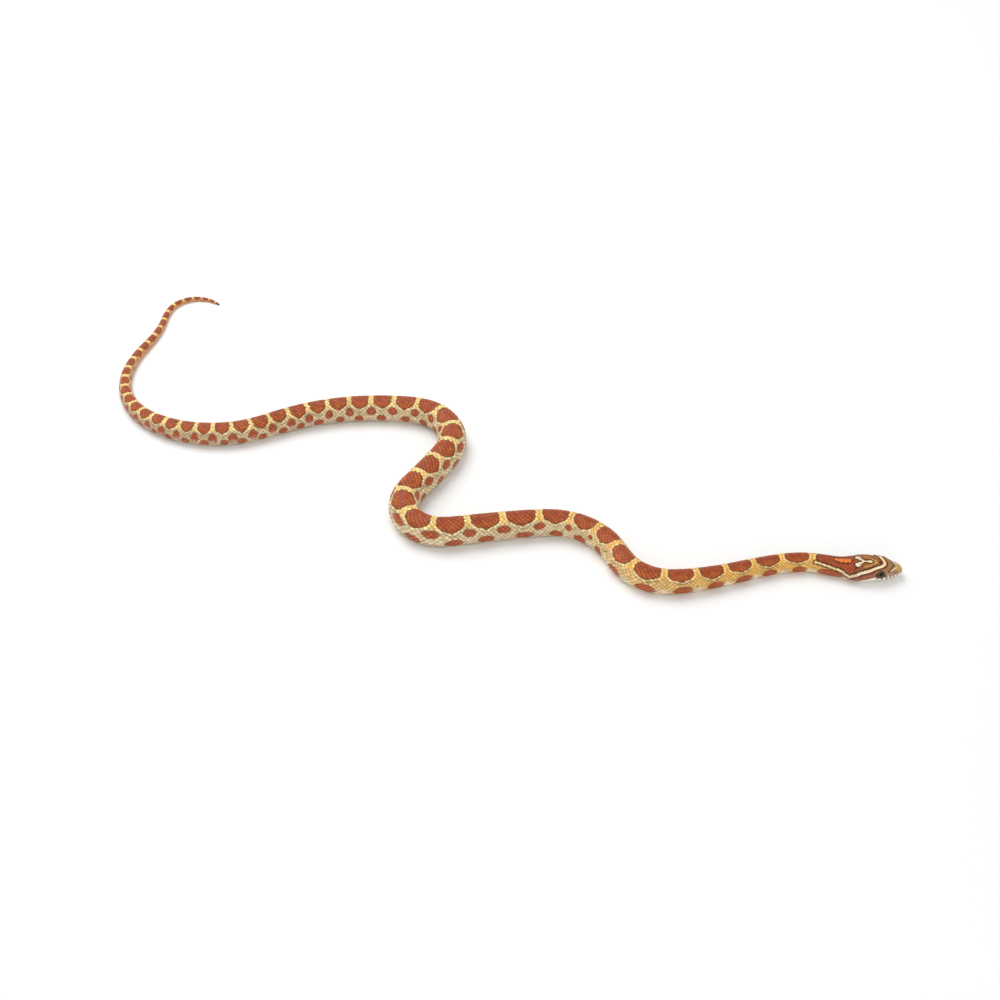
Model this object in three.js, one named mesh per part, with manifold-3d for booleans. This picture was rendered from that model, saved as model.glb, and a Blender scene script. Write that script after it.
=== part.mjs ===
// A young corn snake lying at rest, life size, as a museum model. Millimetres, +Z up.
// The floor is z = 0, the snout points along +X and the tail tip lies at -X, +Y.

import * as THREE from 'three';
import { mergeVertices } from 'three/addons/utils/BufferGeometryUtils.js';
import loadManifold from 'manifold-3d';

const wasm = await loadManifold();
wasm.setup();

// Driving dimensions of the whole animal, measured along the spine from the snout

const BODY_LENGTH = 620;
const HEAD_LENGTH = 23;
const VENT = 532;
const GAP = 0.3;

// Course of the spine: where the snout lies, which way the head runs back, and each bend

const SNOUT = { x: 190.7, y: -97.71 };
const START_HEADING = 178;
const BENDS = [
  [9, -19],
  [22, 32],
  [21, 9],
  [33, -12],
  [21, -52],
  [12, -28],
  [45, 78],
  [45, 6],
  [44, -138],
  [31, 6],
  [43, 110],
  [28, 13],
  [48, 25],
  [62, -64],
  [49, -65],
  [21, -17],
  [27, 25],
  [35, -130],
];
const BEND_SOFTNESS = 14;
const SPINE_STEP = 0.5;

// Girth of the body: distance along the spine, width and height there

const GIRTH = [
  [23, 10.9, 8.0],
  [30, 9.8, 8.0],
  [44, 9.2, 8.1],
  [62, 9.2, 8.4],
  [85, 10.1, 9.3],
  [110, 11.5, 10.6],
  [130, 12.3, 11.4],
  [170, 12.4, 11.6],
  [205, 13.1, 12.3],
  [245, 14.1, 13.2],
  [300, 14.2, 13.3],
  [335, 13.1, 12.3],
  [370, 12.4, 11.7],
  [415, 11.7, 11.0],
  [455, 11.0, 10.3],
  [480, 9.7, 9.1],
  [502, 7.8, 7.3],
  [520, 6.3, 5.9],
  [545, 5.2, 4.8],
  [575, 3.9, 3.6],
  [600, 2.9, 2.7],
  [614, 1.9, 1.8],
  [620, 1.0, 1.0],
];

// Shape of a body section: the belly is flat between two keeled corners, the back a low arch

const BELLY_FLAT = 0.4;
const FLANK_LEVEL = 0.42;
const BACK_ANGLES = [0, 22, 45, 68, 90, 112, 135, 158, 180];
const CORNER_ANGLE = 25;
const KEEL_ANGLE = 62;

// Belly scutes: every second real one, a flat plate whose free rear edge covers the next

const TRUNK_SCUTE = 4.8;
const TAIL_SCUTE = 4.2;
const SCUTE_DEPTH = 0.35;
const SCUTE_SLOPE = 0.24;
const SCUTE_EDGE = 0.95;

// The head and neck rise a little from the floor

const HEAD_LIFT = 0.4;
const LIFT_END = 50;

// The head's tables are drawn for a slimmer head with a shorter snout. It is set to life size by
// widening it from the nape forwards, and by a reach from the nape that grows towards the snout

const HEAD_STRETCH = { across: 1.2, up: 1.06 };
const REACH = { even: 0.9, growing: 0.00025 };
const STRETCH_FULL = 21;
const STRETCH_NONE = 32;

// Lengths of body between the cuts, from the neck to the tail tip

const LENGTHS = [
  ['neck', HEAD_LENGTH, 64],
  ['trunk_1', 64, 109],
  ['trunk_2', 109, 145],
  ['trunk_3', 145, 190],
  ['trunk_4', 190, 234],
  ['trunk_5', 234, 276],
  ['trunk_6', 276, 308],
  ['trunk_7', 308, 352],
  ['trunk_8', 352, 426],
  ['trunk_9', 426, 482],
  ['trunk_10', 482, VENT],
  ['tail_1', VENT, 585],
  ['tail_2', 585, BODY_LENGTH],
];

// Head form by distance from the snout: half width, level of the lips, crown, throat, squareness above

const HEAD_FORM = [
  [0.0, 1.1, 2.85, 3.6, 2.1, 2.2],
  [0.3, 1.7, 2.85, 4.1, 1.5, 2.2],
  [0.9, 2.2, 2.85, 4.5, 1.05, 2.3],
  [1.8, 2.7, 2.9, 4.9, 0.75, 2.4],
  [3.0, 3.4, 2.95, 5.45, 0.5, 2.6],
  [4.6, 4.15, 3.0, 6.0, 0.4, 2.8],
  [6.3, 4.85, 3.1, 6.6, 0.3, 3.0],
  [7.8, 5.2, 3.2, 7.0, 0.25, 3.1],
  [9.4, 5.35, 3.3, 7.25, 0.2, 3.1],
  [11.0, 5.45, 3.4, 7.4, 0.15, 3.0],
  [13.0, 5.7, 3.5, 7.55, 0.1, 2.8],
  [15.0, 6.0, 3.6, 7.7, 0.05, 2.6],
  [17.0, 6.15, 3.6, 7.8, 0.0, 2.4],
  [19.0, 6.05, 3.5, 7.9, 0.0, 2.3],
  [21.0, 5.75, 3.4, 7.95, 0.0, 2.1],
  [23.0, 5.45, 3.36, 8.0, 0.0, 2.0],
];
const THROAT_SQUARENESS = 2.6;
const HEAD_RING = 28;

// The line of the mouth, seen from the side, and where it ends below the temples

const MOUTH_LINE = [
  [-3, 2.35],
  [0, 2.35],
  [3, 2.2],
  [9, 2.3],
  [13.5, 2.6],
  [16.8, 2.9],
];
const JAW_HINGE_FOOT = 16.2;
const JAW_INSET = 0.2;

// Eyes and nostrils

const EYE = { back: 9.3, across: 4.6, up: 4.85, long: 2.25, high: 1.95, deep: 1.15 };
const EYE_LOOK_UP = 12;
const EYE_LOOK_AHEAD = 9;
const NOSTRIL = { back: 1.75, across: 2.75, up: 3.85, radius: 0.4 };

// Raised plates. The crown's outlines are seen from above, as distance back and distance across

const PLATE_THICKNESS = 0.2;
const CROWN_PLATES_FROM = 4.0;
const MIDLINE_PLATES = {
  rostral: [[-1, -1.25], [0.7, -1.15], [1.0, 0], [0.7, 1.15], [-1, 1.25]],
  frontal: [[6.5, -1.75], [6.5, 1.75], [8.6, 1.45], [11.1, 1.25], [12.2, 0], [11.1, -1.25], [8.6, -1.45]],
};
const PAIRED_PLATES = {
  internasal: [[1.25, 0.12], [0.95, 1.2], [1.4, 2.35], [2.75, 2.5], [3.05, 0.12]],
  prefrontal: [[3.3, 0.12], [3.0, 2.55], [3.7, 3.6], [5.7, 3.5], [6.2, 1.9], [6.3, 0.12]],
  supraocular: [[6.5, 2.0], [6.1, 3.3], [7.3, 4.9], [9.2, 5.6], [11.1, 5.2], [11.6, 3.6], [11.2, 1.5], [8.6, 1.7]],
  parietal: [[11.4, 1.3], [12.4, 0.12], [17.6, 0.12], [18.0, 1.5], [16.7, 3.3], [14.0, 4.1], [12.0, 4.0]],
};

// Plates of the side of the head, seen from the side, as distance back and height

const CHEEK_PLATES = {
  nasal: [[0.75, 3.2], [1.0, 4.6], [2.7, 5.0], [2.9, 3.95]],
  loreal: [[3.2, 3.95], [3.05, 4.9], [4.9, 5.3], [5.1, 4.1]],
  preocular: [[5.4, 4.1], [5.2, 5.6], [6.8, 6.1], [7.05, 4.3]],
  upper_postocular: [[11.45, 5.1], [11.5, 6.1], [12.9, 6.2], [12.8, 5.1]],
  lower_postocular: [[11.2, 3.85], [11.45, 4.85], [12.8, 4.85], [12.9, 4.0]],
  front_temporal: [[13.1, 4.2], [13.1, 5.9], [15.7, 6.0], [15.8, 4.5]],
  rear_temporal: [[16.1, 4.4], [16.0, 6.0], [18.4, 6.0], [18.6, 4.7]],
};
const UPPER_LABIAL_EDGES = [0.75, 2.1, 3.6, 5.2, 7.0, 9.1, 11.6, 14.2, 16.7];
const UPPER_LABIAL_HEIGHT = 1.35;
const LOWER_LABIAL_EDGES = [0.9, 2.4, 4.2, 6.2, 8.4, 10.8, 13.2, 15.6];
const LOWER_LABIAL_DEPTH = 0.95;
const SUTURE = 0.24;
const CHIN_SHIELDS = {
  front: [[3.0, 0.15], [2.7, 1.6], [6.3, 2.0], [7.4, 0.15]],
  rear: [[7.8, 0.2], [6.9, 2.1], [10.8, 2.4], [11.6, 0.9]],
};

// Materials, one for each sub-part of flesh or eye

const SKIN_ROUGHNESS = 0.42;
const COLOURS = {
  head: 0xa8744a,
  lower_jaw: 0xe6d9bf,
  eye: 0x2a1c12,
  neck: 0xd08a4c,
  trunk: 0xb5532e,
  tail: 0xb98058,
};

function skinMaterial(colour) {
  return new THREE.MeshStandardMaterial({ color: colour, roughness: SKIN_ROUGHNESS, metalness: 0 });
}

function eyeMaterial() {
  return new THREE.MeshStandardMaterial({ color: COLOURS.eye, roughness: 0.08, metalness: 0 });
}

// Heading before softening: the turns add up evenly along each bend
function sharpHeading(distance) {
  let start = HEAD_LENGTH;
  let heading = START_HEADING;
  for (const [length, turn] of BENDS) {
    const share = THREE.MathUtils.clamp((distance - start) / length, 0, 1);
    heading += share * turn;
    start += length;
  }
  return THREE.MathUtils.degToRad(heading);
}

// Heading in radians, averaged over a short window so that one bend flows into the next
function headingAt(distance) {
  const samples = 14;
  let sum = 0;
  for (let i = 0; i < samples; i += 1) {
    sum += sharpHeading(distance + BEND_SOFTNESS * ((i + 0.5) / samples - 0.5));
  }
  return sum / samples;
}

function traceSpine() {
  const points = [{ ...SNOUT }];
  for (let i = 1; i * SPINE_STEP <= BODY_LENGTH + 1; i += 1) {
    const heading = headingAt((i - 0.5) * SPINE_STEP);
    const last = points[i - 1];
    points.push({
      x: last.x + Math.cos(heading) * SPINE_STEP,
      y: last.y + Math.sin(heading) * SPINE_STEP,
    });
  }
  return points;
}

const spine = traceSpine();

// Height of the underside over the floor
function liftAt(distance) {
  return HEAD_LIFT * (1 - THREE.MathUtils.smoothstep(distance, 0, LIFT_END));
}

// A point given by its table's distance from the snout, distance to the left of the spine and height
function place(distance, across, up) {
  const ahead = Math.max(HEAD_LENGTH - distance, 0);
  const along = distance + ahead - REACH.even * ahead - REACH.growing * ahead ** 3;
  const full = 1 - THREE.MathUtils.smoothstep(distance, STRETCH_FULL, STRETCH_NONE);
  const beside = across * THREE.MathUtils.lerp(1, HEAD_STRETCH.across, full);
  const high = up * THREE.MathUtils.lerp(1, HEAD_STRETCH.up, full);
  const step = Math.min(Math.max(along / SPINE_STEP, 0), spine.length - 1.001);
  const i = Math.floor(step);
  const share = step - i;
  const heading = headingAt(along);
  const before = Math.min(along, 0);
  const x = THREE.MathUtils.lerp(spine[i].x, spine[i + 1].x, share) + before * Math.cos(heading);
  const y = THREE.MathUtils.lerp(spine[i].y, spine[i + 1].y, share) + before * Math.sin(heading);
  return [
    x - beside * Math.sin(heading),
    y + beside * Math.cos(heading),
    high + liftAt(along),
  ];
}

// A smooth curve through the rows of a table, read at one distance
function readTable(table, distance, column) {
  const last = table.length - 2;
  let i = 0;
  while (i < last && distance > table[i + 1][0]) {
    i += 1;
  }
  const slope = (a, b) => (table[b][column] - table[a][column]) / (table[b][0] - table[a][0]);
  const here = slope(i, i + 1);
  const before = i > 0 ? slope(i - 1, i) : here;
  const after = i < last ? slope(i + 1, i + 2) : here;
  const ease = (a, b) => (a * b > 0 ? (2 * a * b) / (a + b) : 0);
  const run = table[i + 1][0] - table[i][0];
  const t = THREE.MathUtils.clamp((distance - table[i][0]) / run, 0, 1);
  const startTangent = ease(before, here) * run;
  const endTangent = ease(here, after) * run;
  const rise = table[i + 1][column] - table[i][column];
  const bend = 3 * rise - 2 * startTangent - endTangent;
  const twist = startTangent + endTangent - 2 * rise;
  return table[i][column] + t * (startTangent + t * (bend + t * twist));
}

// Points across the back of a section, from the right flank over the top to the left one
function backPoints(half, height) {
  const level = FLANK_LEVEL * height;
  const corner = cornerPoint(half, height, CORNER_ANGLE, 0);
  const arch = BACK_ANGLES.map((degrees) => {
    const angle = THREE.MathUtils.degToRad(degrees);
    return [-half * Math.cos(angle), level + (height - level) * Math.sin(angle)];
  });
  return [[-corner[0], corner[1]], ...arch, corner];
}

// A point on the rounded corner between flank and belly, drawn in by the depth of a groove
function cornerPoint(half, height, degrees, groove) {
  const angle = THREE.MathUtils.degToRad(degrees);
  const level = FLANK_LEVEL * height;
  const round = half * (1 - BELLY_FLAT);
  const across = half * BELLY_FLAT + round * Math.cos(angle) - groove * Math.cos(angle);
  const up = level - level * Math.sin(angle) + groove * Math.sin(angle);
  return [across, up];
}

// The belly from the right keel to the left one: right keel, flat's two ends, left keel
function bellyPoints(half, height, groove) {
  const keel = cornerPoint(half, height, KEEL_ANGLE, groove);
  const flat = half * BELLY_FLAT;
  return [[-keel[0], keel[1]], [-flat, groove], [flat, groove], keel];
}

// One length of the body: one ring over the back for each scute, three across the belly
function bodyLength(start, end, scuteLength) {
  const count = Math.max(1, Math.round((end - start) / scuteLength));
  const pitch = (end - start) / count;
  const points = [];
  const faces = [];
  const addRing = (distance, profile) => {
    const first = points.length / 3;
    profile.forEach(([across, up]) => points.push(...place(distance, across, up)));
    return profile.map((unused, i) => first + i);
  };
  const size = (distance) => [
    readTable(GIRTH, distance, 1) / 2,
    readTable(GIRTH, distance, 2),
  ];
  const backs = [];
  const bellies = [];
  for (let i = 0; i <= count; i += 1) {
    const from = start + i * pitch;
    const [half, height] = size(from);
    const depth = Math.min(SCUTE_DEPTH, 0.1 * height);
    backs.push(addRing(from, backPoints(half, height)));
    bellies.push([addRing(from, bellyPoints(half, height, depth))]);
    if (i < count) {
      for (const share of [SCUTE_SLOPE, SCUTE_EDGE]) {
        const distance = from + share * pitch;
        bellies[i].push(addRing(distance, bellyPoints(...size(distance), 0)));
      }
    }
  }
  const quad = (a, b, c, d) => faces.push(a, c, b, a, d, c);
  for (let i = 0; i < count; i += 1) {
    const [here, next] = [backs[i], backs[i + 1]];
    for (let k = 0; k + 1 < here.length; k += 1) {
      quad(here[k], here[k + 1], next[k + 1], next[k]);
    }
    const rows = [...bellies[i], bellies[i + 1][0]];
    for (let r = 0; r + 1 < rows.length; r += 1) {
      for (let k = 0; k + 1 < rows[r].length; k += 1) {
        quad(rows[r][k + 1], rows[r][k], rows[r + 1][k], rows[r + 1][k + 1]);
      }
    }
    stitch(faces, here[0], next[0], rows.map((row) => row[0]), false);
    stitch(faces, here.at(-1), next.at(-1), rows.map((row) => row.at(-1)), true);
  }
  closeEnd(points, faces, [...backs[0], ...bellies[0][0].slice().reverse()], start, false);
  closeEnd(points, faces, [...backs[count], ...bellies[count][0].slice().reverse()], end, true);
  return meshGeometry(points, faces);
}

// Triangles between one step of the flank and the three steps of a scute's keel beside it
function stitch(faces, here, next, keels, leftSide) {
  const half = Math.ceil(keels.length / 2);
  const add = (a, b, c) => (leftSide ? faces.push(a, c, b) : faces.push(a, b, c));
  for (let r = 0; r + 1 < keels.length; r += 1) {
    add(r + 1 < half + 1 ? here : next, keels[r], keels[r + 1]);
    if (r + 1 === half) {
      add(here, keels[half], next);
    }
  }
}

// A flat cap over a ring of points, fanned from its middle
function closeEnd(points, faces, ring, distance, atEnd) {
  const height = readTable(GIRTH, distance, 2);
  const middle = points.length / 3;
  points.push(...place(distance, 0, height / 2));
  ring.forEach((point, i) => {
    const next = ring[(i + 1) % ring.length];
    faces.push(middle, ...(atEnd ? [next, point] : [point, next]));
  });
}

function meshGeometry(points, faces) {
  const geometry = new THREE.BufferGeometry();
  geometry.setAttribute('position', new THREE.Float32BufferAttribute(points, 3));
  geometry.setIndex(faces);
  geometry.computeVertexNormals();
  return geometry;
}

// A solid from a closed geometry, and a geometry from a solid

function toSolid(geometry) {
  const bare = geometry.clone();
  bare.deleteAttribute('normal');
  bare.deleteAttribute('uv');
  const merged = mergeVertices(bare, 1e-4);
  return new wasm.Manifold(new wasm.Mesh({
    numProp: 3,
    vertProperties: new Float32Array(merged.attributes.position.array),
    triVerts: new Uint32Array(merged.index.array),
  }));
}

function toGeometry(solid) {
  const mesh = largestPiece(solid).getMesh();
  const geometry = new THREE.BufferGeometry();
  geometry.setAttribute('position', new THREE.BufferAttribute(mesh.vertProperties, 3));
  geometry.setIndex(new THREE.BufferAttribute(mesh.triVerts, 1));
  geometry.computeVertexNormals();
  return geometry;
}

function largestPiece(solid) {
  return solid.decompose().reduce((a, b) => (b.volume() > a.volume() ? b : a));
}

// The head's form as a closed loft, in its own frame: X back from the snout, Y to the left, Z up
function headLoft(grow) {
  const points = [];
  const faces = [];
  const rows = HEAD_FORM.length;
  HEAD_FORM.forEach(([back, half, lips, crown, throat, square], row) => {
    const x = back + (row === 0 ? -grow : 0);
    for (let k = 0; k < HEAD_RING; k += 1) {
      const angle = (2 * Math.PI * k) / HEAD_RING;
      const [cos, sin] = [Math.cos(angle), Math.sin(angle)];
      const power = 2 / (sin >= 0 ? square : THROAT_SQUARENESS);
      const reach = sin >= 0 ? crown + grow - lips : lips - throat + grow;
      const across = (half + grow) * Math.sign(cos) * Math.abs(cos) ** power;
      points.push(x, across, lips + reach * Math.sign(sin) * Math.abs(sin) ** power);
    }
  });
  for (let row = 0; row + 1 < rows; row += 1) {
    for (let k = 0; k < HEAD_RING; k += 1) {
      const [a, b] = [row * HEAD_RING + k, row * HEAD_RING + ((k + 1) % HEAD_RING)];
      faces.push(a, b, a + HEAD_RING, b, b + HEAD_RING, a + HEAD_RING);
    }
  }
  const centres = [0, rows - 1].map((row) => {
    points.push(HEAD_FORM[row][0] + (row === 0 ? -grow : 0), 0, HEAD_FORM[row][2]);
    return points.length / 3 - 1;
  });
  const lastRow = (rows - 1) * HEAD_RING;
  for (let k = 0; k < HEAD_RING; k += 1) {
    const next = (k + 1) % HEAD_RING;
    faces.push(centres[0], next, k);
    faces.push(centres[1], lastRow + k, lastRow + next);
  }
  return toSolid(meshGeometry(points, faces));
}

// An upright prism with its outline seen from above, or a sideways one with its outline seen from the side

function outlineShape(outline) {
  return new THREE.Shape(outline.map(([a, b]) => new THREE.Vector2(a, b)));
}

function uprightPrism(outline, low, high) {
  const geometry = new THREE.ExtrudeGeometry(outlineShape(outline), { depth: high - low, bevelEnabled: false });
  geometry.translate(0, 0, low);
  return toSolid(geometry);
}

function sidewaysPrism(outline, near, far) {
  const geometry = new THREE.ExtrudeGeometry(outlineShape(outline), { depth: far - near, bevelEnabled: false });
  geometry.rotateX(Math.PI / 2);
  geometry.translate(0, far, 0);
  return toSolid(geometry);
}

const mirrored = (outline) => outline.map(([back, across]) => [back, -across]);

const mouthHeight = (back) => readTable(MOUTH_LINE, back, 1);

// Everything below the line of the mouth and in front of the jaw's hinge, swollen by a gap
function jawSpace(gap) {
  const line = MOUTH_LINE.map(([back, up]) => [back, up + gap / 2]);
  line[line.length - 1][0] += gap / 2;
  const outline = [...line, [JAW_HINGE_FOOT + gap / 2, -3], [-3, -3]];
  return sidewaysPrism(outline, -9, 9);
}

// One lip plate between two sutures, as high as the lip is there
function lipPlate(from, to, bottom, top) {
  const [start, end] = [from + SUTURE / 2, to - SUTURE / 2];
  return [
    [start, mouthHeight(start) + bottom],
    [start, mouthHeight(start) + top],
    [end, mouthHeight(end) + top],
    [end, mouthHeight(end) + bottom],
  ];
}

const lipRow = (edges, bottom, top) => edges.slice(1).map((to, i) => lipPlate(edges[i], to, bottom, top));

function eyeSolid(side, swell) {
  const geometry = new THREE.SphereGeometry(1, 18, 12);
  geometry.rotateX(Math.PI / 2);
  geometry.scale(EYE.long + swell, EYE.deep + swell, EYE.high + swell);
  geometry.rotateX(side * THREE.MathUtils.degToRad(EYE_LOOK_UP));
  geometry.rotateZ(side * THREE.MathUtils.degToRad(EYE_LOOK_AHEAD));
  geometry.translate(EYE.back, side * EYE.across, EYE.up);
  return toSolid(geometry);
}

function nostrilPit(side) {
  const geometry = new THREE.SphereGeometry(NOSTRIL.radius, 8, 6);
  geometry.scale(1.25, 1.3, 0.9);
  geometry.translate(NOSTRIL.back, side * NOSTRIL.across, NOSTRIL.up);
  return toSolid(geometry);
}

const SIDES = [-1, 1];

// The upper head: its loft, raised plates, eye sockets and nostrils, cut along the mouth
function headSolid() {
  const skin = headLoft(PLATE_THICKNESS);
  let head = headLoft(0);
  const raise = (prism) => {
    head = head.add(prism.intersect(skin));
  };
  raise(uprightPrism(MIDLINE_PLATES.rostral, 2, 6));
  raise(uprightPrism(MIDLINE_PLATES.frontal, CROWN_PLATES_FROM, 10));
  for (const outline of Object.values(PAIRED_PLATES)) {
    raise(uprightPrism(outline, CROWN_PLATES_FROM + 0.6, 10));
    raise(uprightPrism(mirrored(outline).reverse(), CROWN_PLATES_FROM + 0.6, 10));
  }
  const lips = lipRow(UPPER_LABIAL_EDGES, 0, UPPER_LABIAL_HEIGHT);
  for (const outline of [...lips, ...Object.values(CHEEK_PLATES)]) {
    raise(sidewaysPrism(outline, 1.5, 8));
    raise(sidewaysPrism(outline, -8, -1.5));
  }
  for (const side of SIDES) {
    head = head.subtract(eyeSolid(side, GAP)).subtract(nostrilPit(side));
  }
  return head.subtract(jawSpace(GAP));
}

// The lower jaw: the same loft a little narrower, with its own lip plates and chin shields
function lowerJawSolid() {
  const skin = headLoft(PLATE_THICKNESS - JAW_INSET);
  let jaw = headLoft(-JAW_INSET);
  const raise = (prism) => {
    jaw = jaw.add(prism.intersect(skin));
  };
  for (const outline of lipRow(LOWER_LABIAL_EDGES, -LOWER_LABIAL_DEPTH, 0)) {
    raise(sidewaysPrism(outline, 1.2, 8));
    raise(sidewaysPrism(outline, -8, -1.2));
  }
  for (const outline of Object.values(CHIN_SHIELDS)) {
    raise(uprightPrism(outline, -1, 1));
    raise(uprightPrism(mirrored(outline).reverse(), -1, 1));
  }
  return jaw.intersect(jawSpace(-GAP));
}

// Carries a geometry from the head's own frame to its place at the front of the spine
function setOnSpine(geometry) {
  const positions = geometry.attributes.position;
  for (let i = 0; i < positions.count; i += 1) {
    const back = Math.min(positions.getX(i), HEAD_LENGTH - GAP / 2);
    positions.setXYZ(i, ...place(back, positions.getY(i), positions.getZ(i)));
  }
  geometry.computeVertexNormals();
  return geometry;
}

const snake = new THREE.Group();

function addMesh(name, geometry, material) {
  const mesh = new THREE.Mesh(geometry, material);
  mesh.name = name;
  snake.add(mesh);
}

addMesh('head', setOnSpine(toGeometry(headSolid())), skinMaterial(COLOURS.head));
addMesh('lower_jaw', setOnSpine(toGeometry(lowerJawSolid())), skinMaterial(COLOURS.lower_jaw));
addMesh('eye_left', setOnSpine(toGeometry(eyeSolid(-1, 0))), eyeMaterial());
addMesh('eye_right', setOnSpine(toGeometry(eyeSolid(1, 0))), eyeMaterial());

for (const [name, from, to] of LENGTHS) {
  const region = name.split('_')[0];
  const end = to === BODY_LENGTH ? to : to - GAP / 2;
  const scute = region === 'tail' ? TAIL_SCUTE : TRUNK_SCUTE;
  addMesh(name, bodyLength(from + GAP / 2, end, scute), skinMaterial(COLOURS[region]));
}

export default snake;
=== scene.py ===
"""Looks of a young corn snake lying at rest: skin, scales, belly scutes, head plates and eyes.

Shapes are worked out in millimetres in the straightened body, as distance along the spine from
the snout, distance across and height. They are bent onto the spine and turned into metres when a
mesh is made.
"""

import logging
import math
from dataclasses import dataclass, field
from enum import Enum

import bpy
import numpy as np
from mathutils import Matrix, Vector


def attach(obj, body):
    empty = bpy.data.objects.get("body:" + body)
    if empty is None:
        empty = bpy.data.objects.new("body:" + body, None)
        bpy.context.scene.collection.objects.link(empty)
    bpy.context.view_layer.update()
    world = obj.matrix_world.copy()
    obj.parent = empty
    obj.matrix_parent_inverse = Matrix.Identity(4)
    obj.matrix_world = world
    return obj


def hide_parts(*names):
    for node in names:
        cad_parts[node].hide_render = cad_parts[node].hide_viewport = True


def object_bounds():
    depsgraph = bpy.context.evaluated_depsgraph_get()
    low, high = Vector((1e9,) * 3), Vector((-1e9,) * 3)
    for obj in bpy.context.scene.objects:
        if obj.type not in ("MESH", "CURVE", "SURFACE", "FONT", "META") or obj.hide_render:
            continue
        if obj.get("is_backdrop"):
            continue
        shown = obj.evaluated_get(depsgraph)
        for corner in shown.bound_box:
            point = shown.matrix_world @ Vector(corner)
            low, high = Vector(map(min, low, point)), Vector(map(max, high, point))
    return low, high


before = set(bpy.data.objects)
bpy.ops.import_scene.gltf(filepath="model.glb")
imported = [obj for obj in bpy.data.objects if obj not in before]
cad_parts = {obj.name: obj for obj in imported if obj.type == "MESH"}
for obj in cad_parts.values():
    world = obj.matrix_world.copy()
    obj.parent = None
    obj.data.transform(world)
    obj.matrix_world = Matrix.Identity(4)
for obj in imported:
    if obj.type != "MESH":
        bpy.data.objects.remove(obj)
cad_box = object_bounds()

MM = 0.001
BODY = "root"
UV_NAME = "OFBake"
COLOUR_NAME = "markings"
SEED = 20
TINY = 1e-9
LINE_REACH = 2.5
PITCH_LEAST = 0.55
PITCH_GROWTH = 0.26
PITCH_OF_SHAPE = 2.4
SCALE_SINK = 0.06
FLAT_TOPPED = 4

log = logging.getLogger("corn_snake")
Array = np.ndarray
Course = tuple[tuple[float, float], ...]


def srgb(red: float, green: float, blue: float) -> Array:
    """Linear colour of a display colour given in 0 to 255."""
    value = np.array([red, green, blue], float) / 255
    return np.where(value <= 0.04045, value / 12.92, ((value + 0.055) / 1.055) ** 2.4)


def smooth_step(low: float, high: float, value: Array) -> Array:
    """Share that rises smoothly from 0 at low to 1 at high."""
    share = np.clip((value - low) / (high - low), 0, 1)
    return share * share * (3 - 2 * share)


def mix(first: Array, second: Array, share: Array) -> Array:
    """Blend of two colours, or rows of colours, by a share or a column of shares."""
    share = np.asarray(share)[..., None]
    return first * (1 - share) + second * share


def lay(colour: Array, paint: Array, amount: Array) -> Array:
    """Lays a paint, or a row of paints, over what is there."""
    return mix(colour, np.broadcast_to(paint, colour.shape), np.clip(amount, 0, 1))


def near(value: Array, width: float, power: int = 2) -> Array:
    """Share that is 1 where the value is 0 and fades to 0 beyond a width."""
    return np.exp(-((value / width) ** power))


def follow(course: Course, at: Array) -> Array:
    """Second value of a course where its first value is given, straight between its points."""
    first, second = np.array(course, float).T
    return np.interp(at, first, second)


def turned(first: Array, second: Array, degrees: float) -> tuple[Array, Array]:
    """Turns two coordinates about the third axis."""
    angle = math.radians(degrees)
    return (
        first * math.cos(angle) - second * math.sin(angle),
        first * math.sin(angle) + second * math.cos(angle),
    )


def grid_quads(rows: int, columns: int) -> list[list[int]]:
    """Faces of a grid of points that are numbered row by row."""
    faces = []
    for row in range(rows - 1):
        for column in range(columns - 1):
            start = row * columns + column
            faces.append([start, start + columns, start + columns + 1, start + 1])
    return faces


def rim_of_grid(rows: int, columns: int) -> list[int]:
    """Points round the edge of a grid that is numbered row by row."""
    last = (rows - 1) * columns
    rim = list(range(columns))
    rim += [row * columns + columns - 1 for row in range(1, rows)]
    rim += [last + column for column in range(columns - 2, -1, -1)]
    rim += [row * columns for row in range(rows - 2, 0, -1)]
    return rim


def read_table(table: Array, column: int, at: Array) -> Array:
    """Smooth curve through a table's rows that never overshoots them.

    Args:
        table: rows of values, with the distance in the first column.
        column: the column that is read.
        at: distances where it is read.

    Returns:
        The column's value at each distance.
    """
    x = table[:, 0]
    y = table[:, column]
    slope = np.diff(y) / np.diff(x)
    before = np.r_[slope[0], slope]
    after = np.r_[slope, slope[-1]]
    product = before * after
    total = np.where(before + after == 0, 1, before + after)
    tangent = np.where(product > 0, 2 * product / total, 0)
    i = np.clip(np.searchsorted(x, at, side="right") - 1, 0, len(x) - 2)
    run = x[i + 1] - x[i]
    t = np.clip((at - x[i]) / run, 0, 1)
    rise = y[i + 1] - y[i]
    start = tangent[i] * run
    end = tangent[i + 1] * run
    return y[i] + t * (start + t * ((3 * rise - 2 * start - end) + t * (start + end - 2 * rise)))


class Side(Enum):
    """The animal's two sides, as the sign of the distance across."""

    LEFT = -1
    RIGHT = 1


class View(Enum):
    """How a landmark of the head is given."""

    ABOVE = "distance back and distance across"
    CHEEK = "distance back and height over the jaw"
    CHIN = "distance back and distance across, on the underside"
    GIRTH = "distance back and share of the way from the back's midline to the belly's edge"


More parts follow.
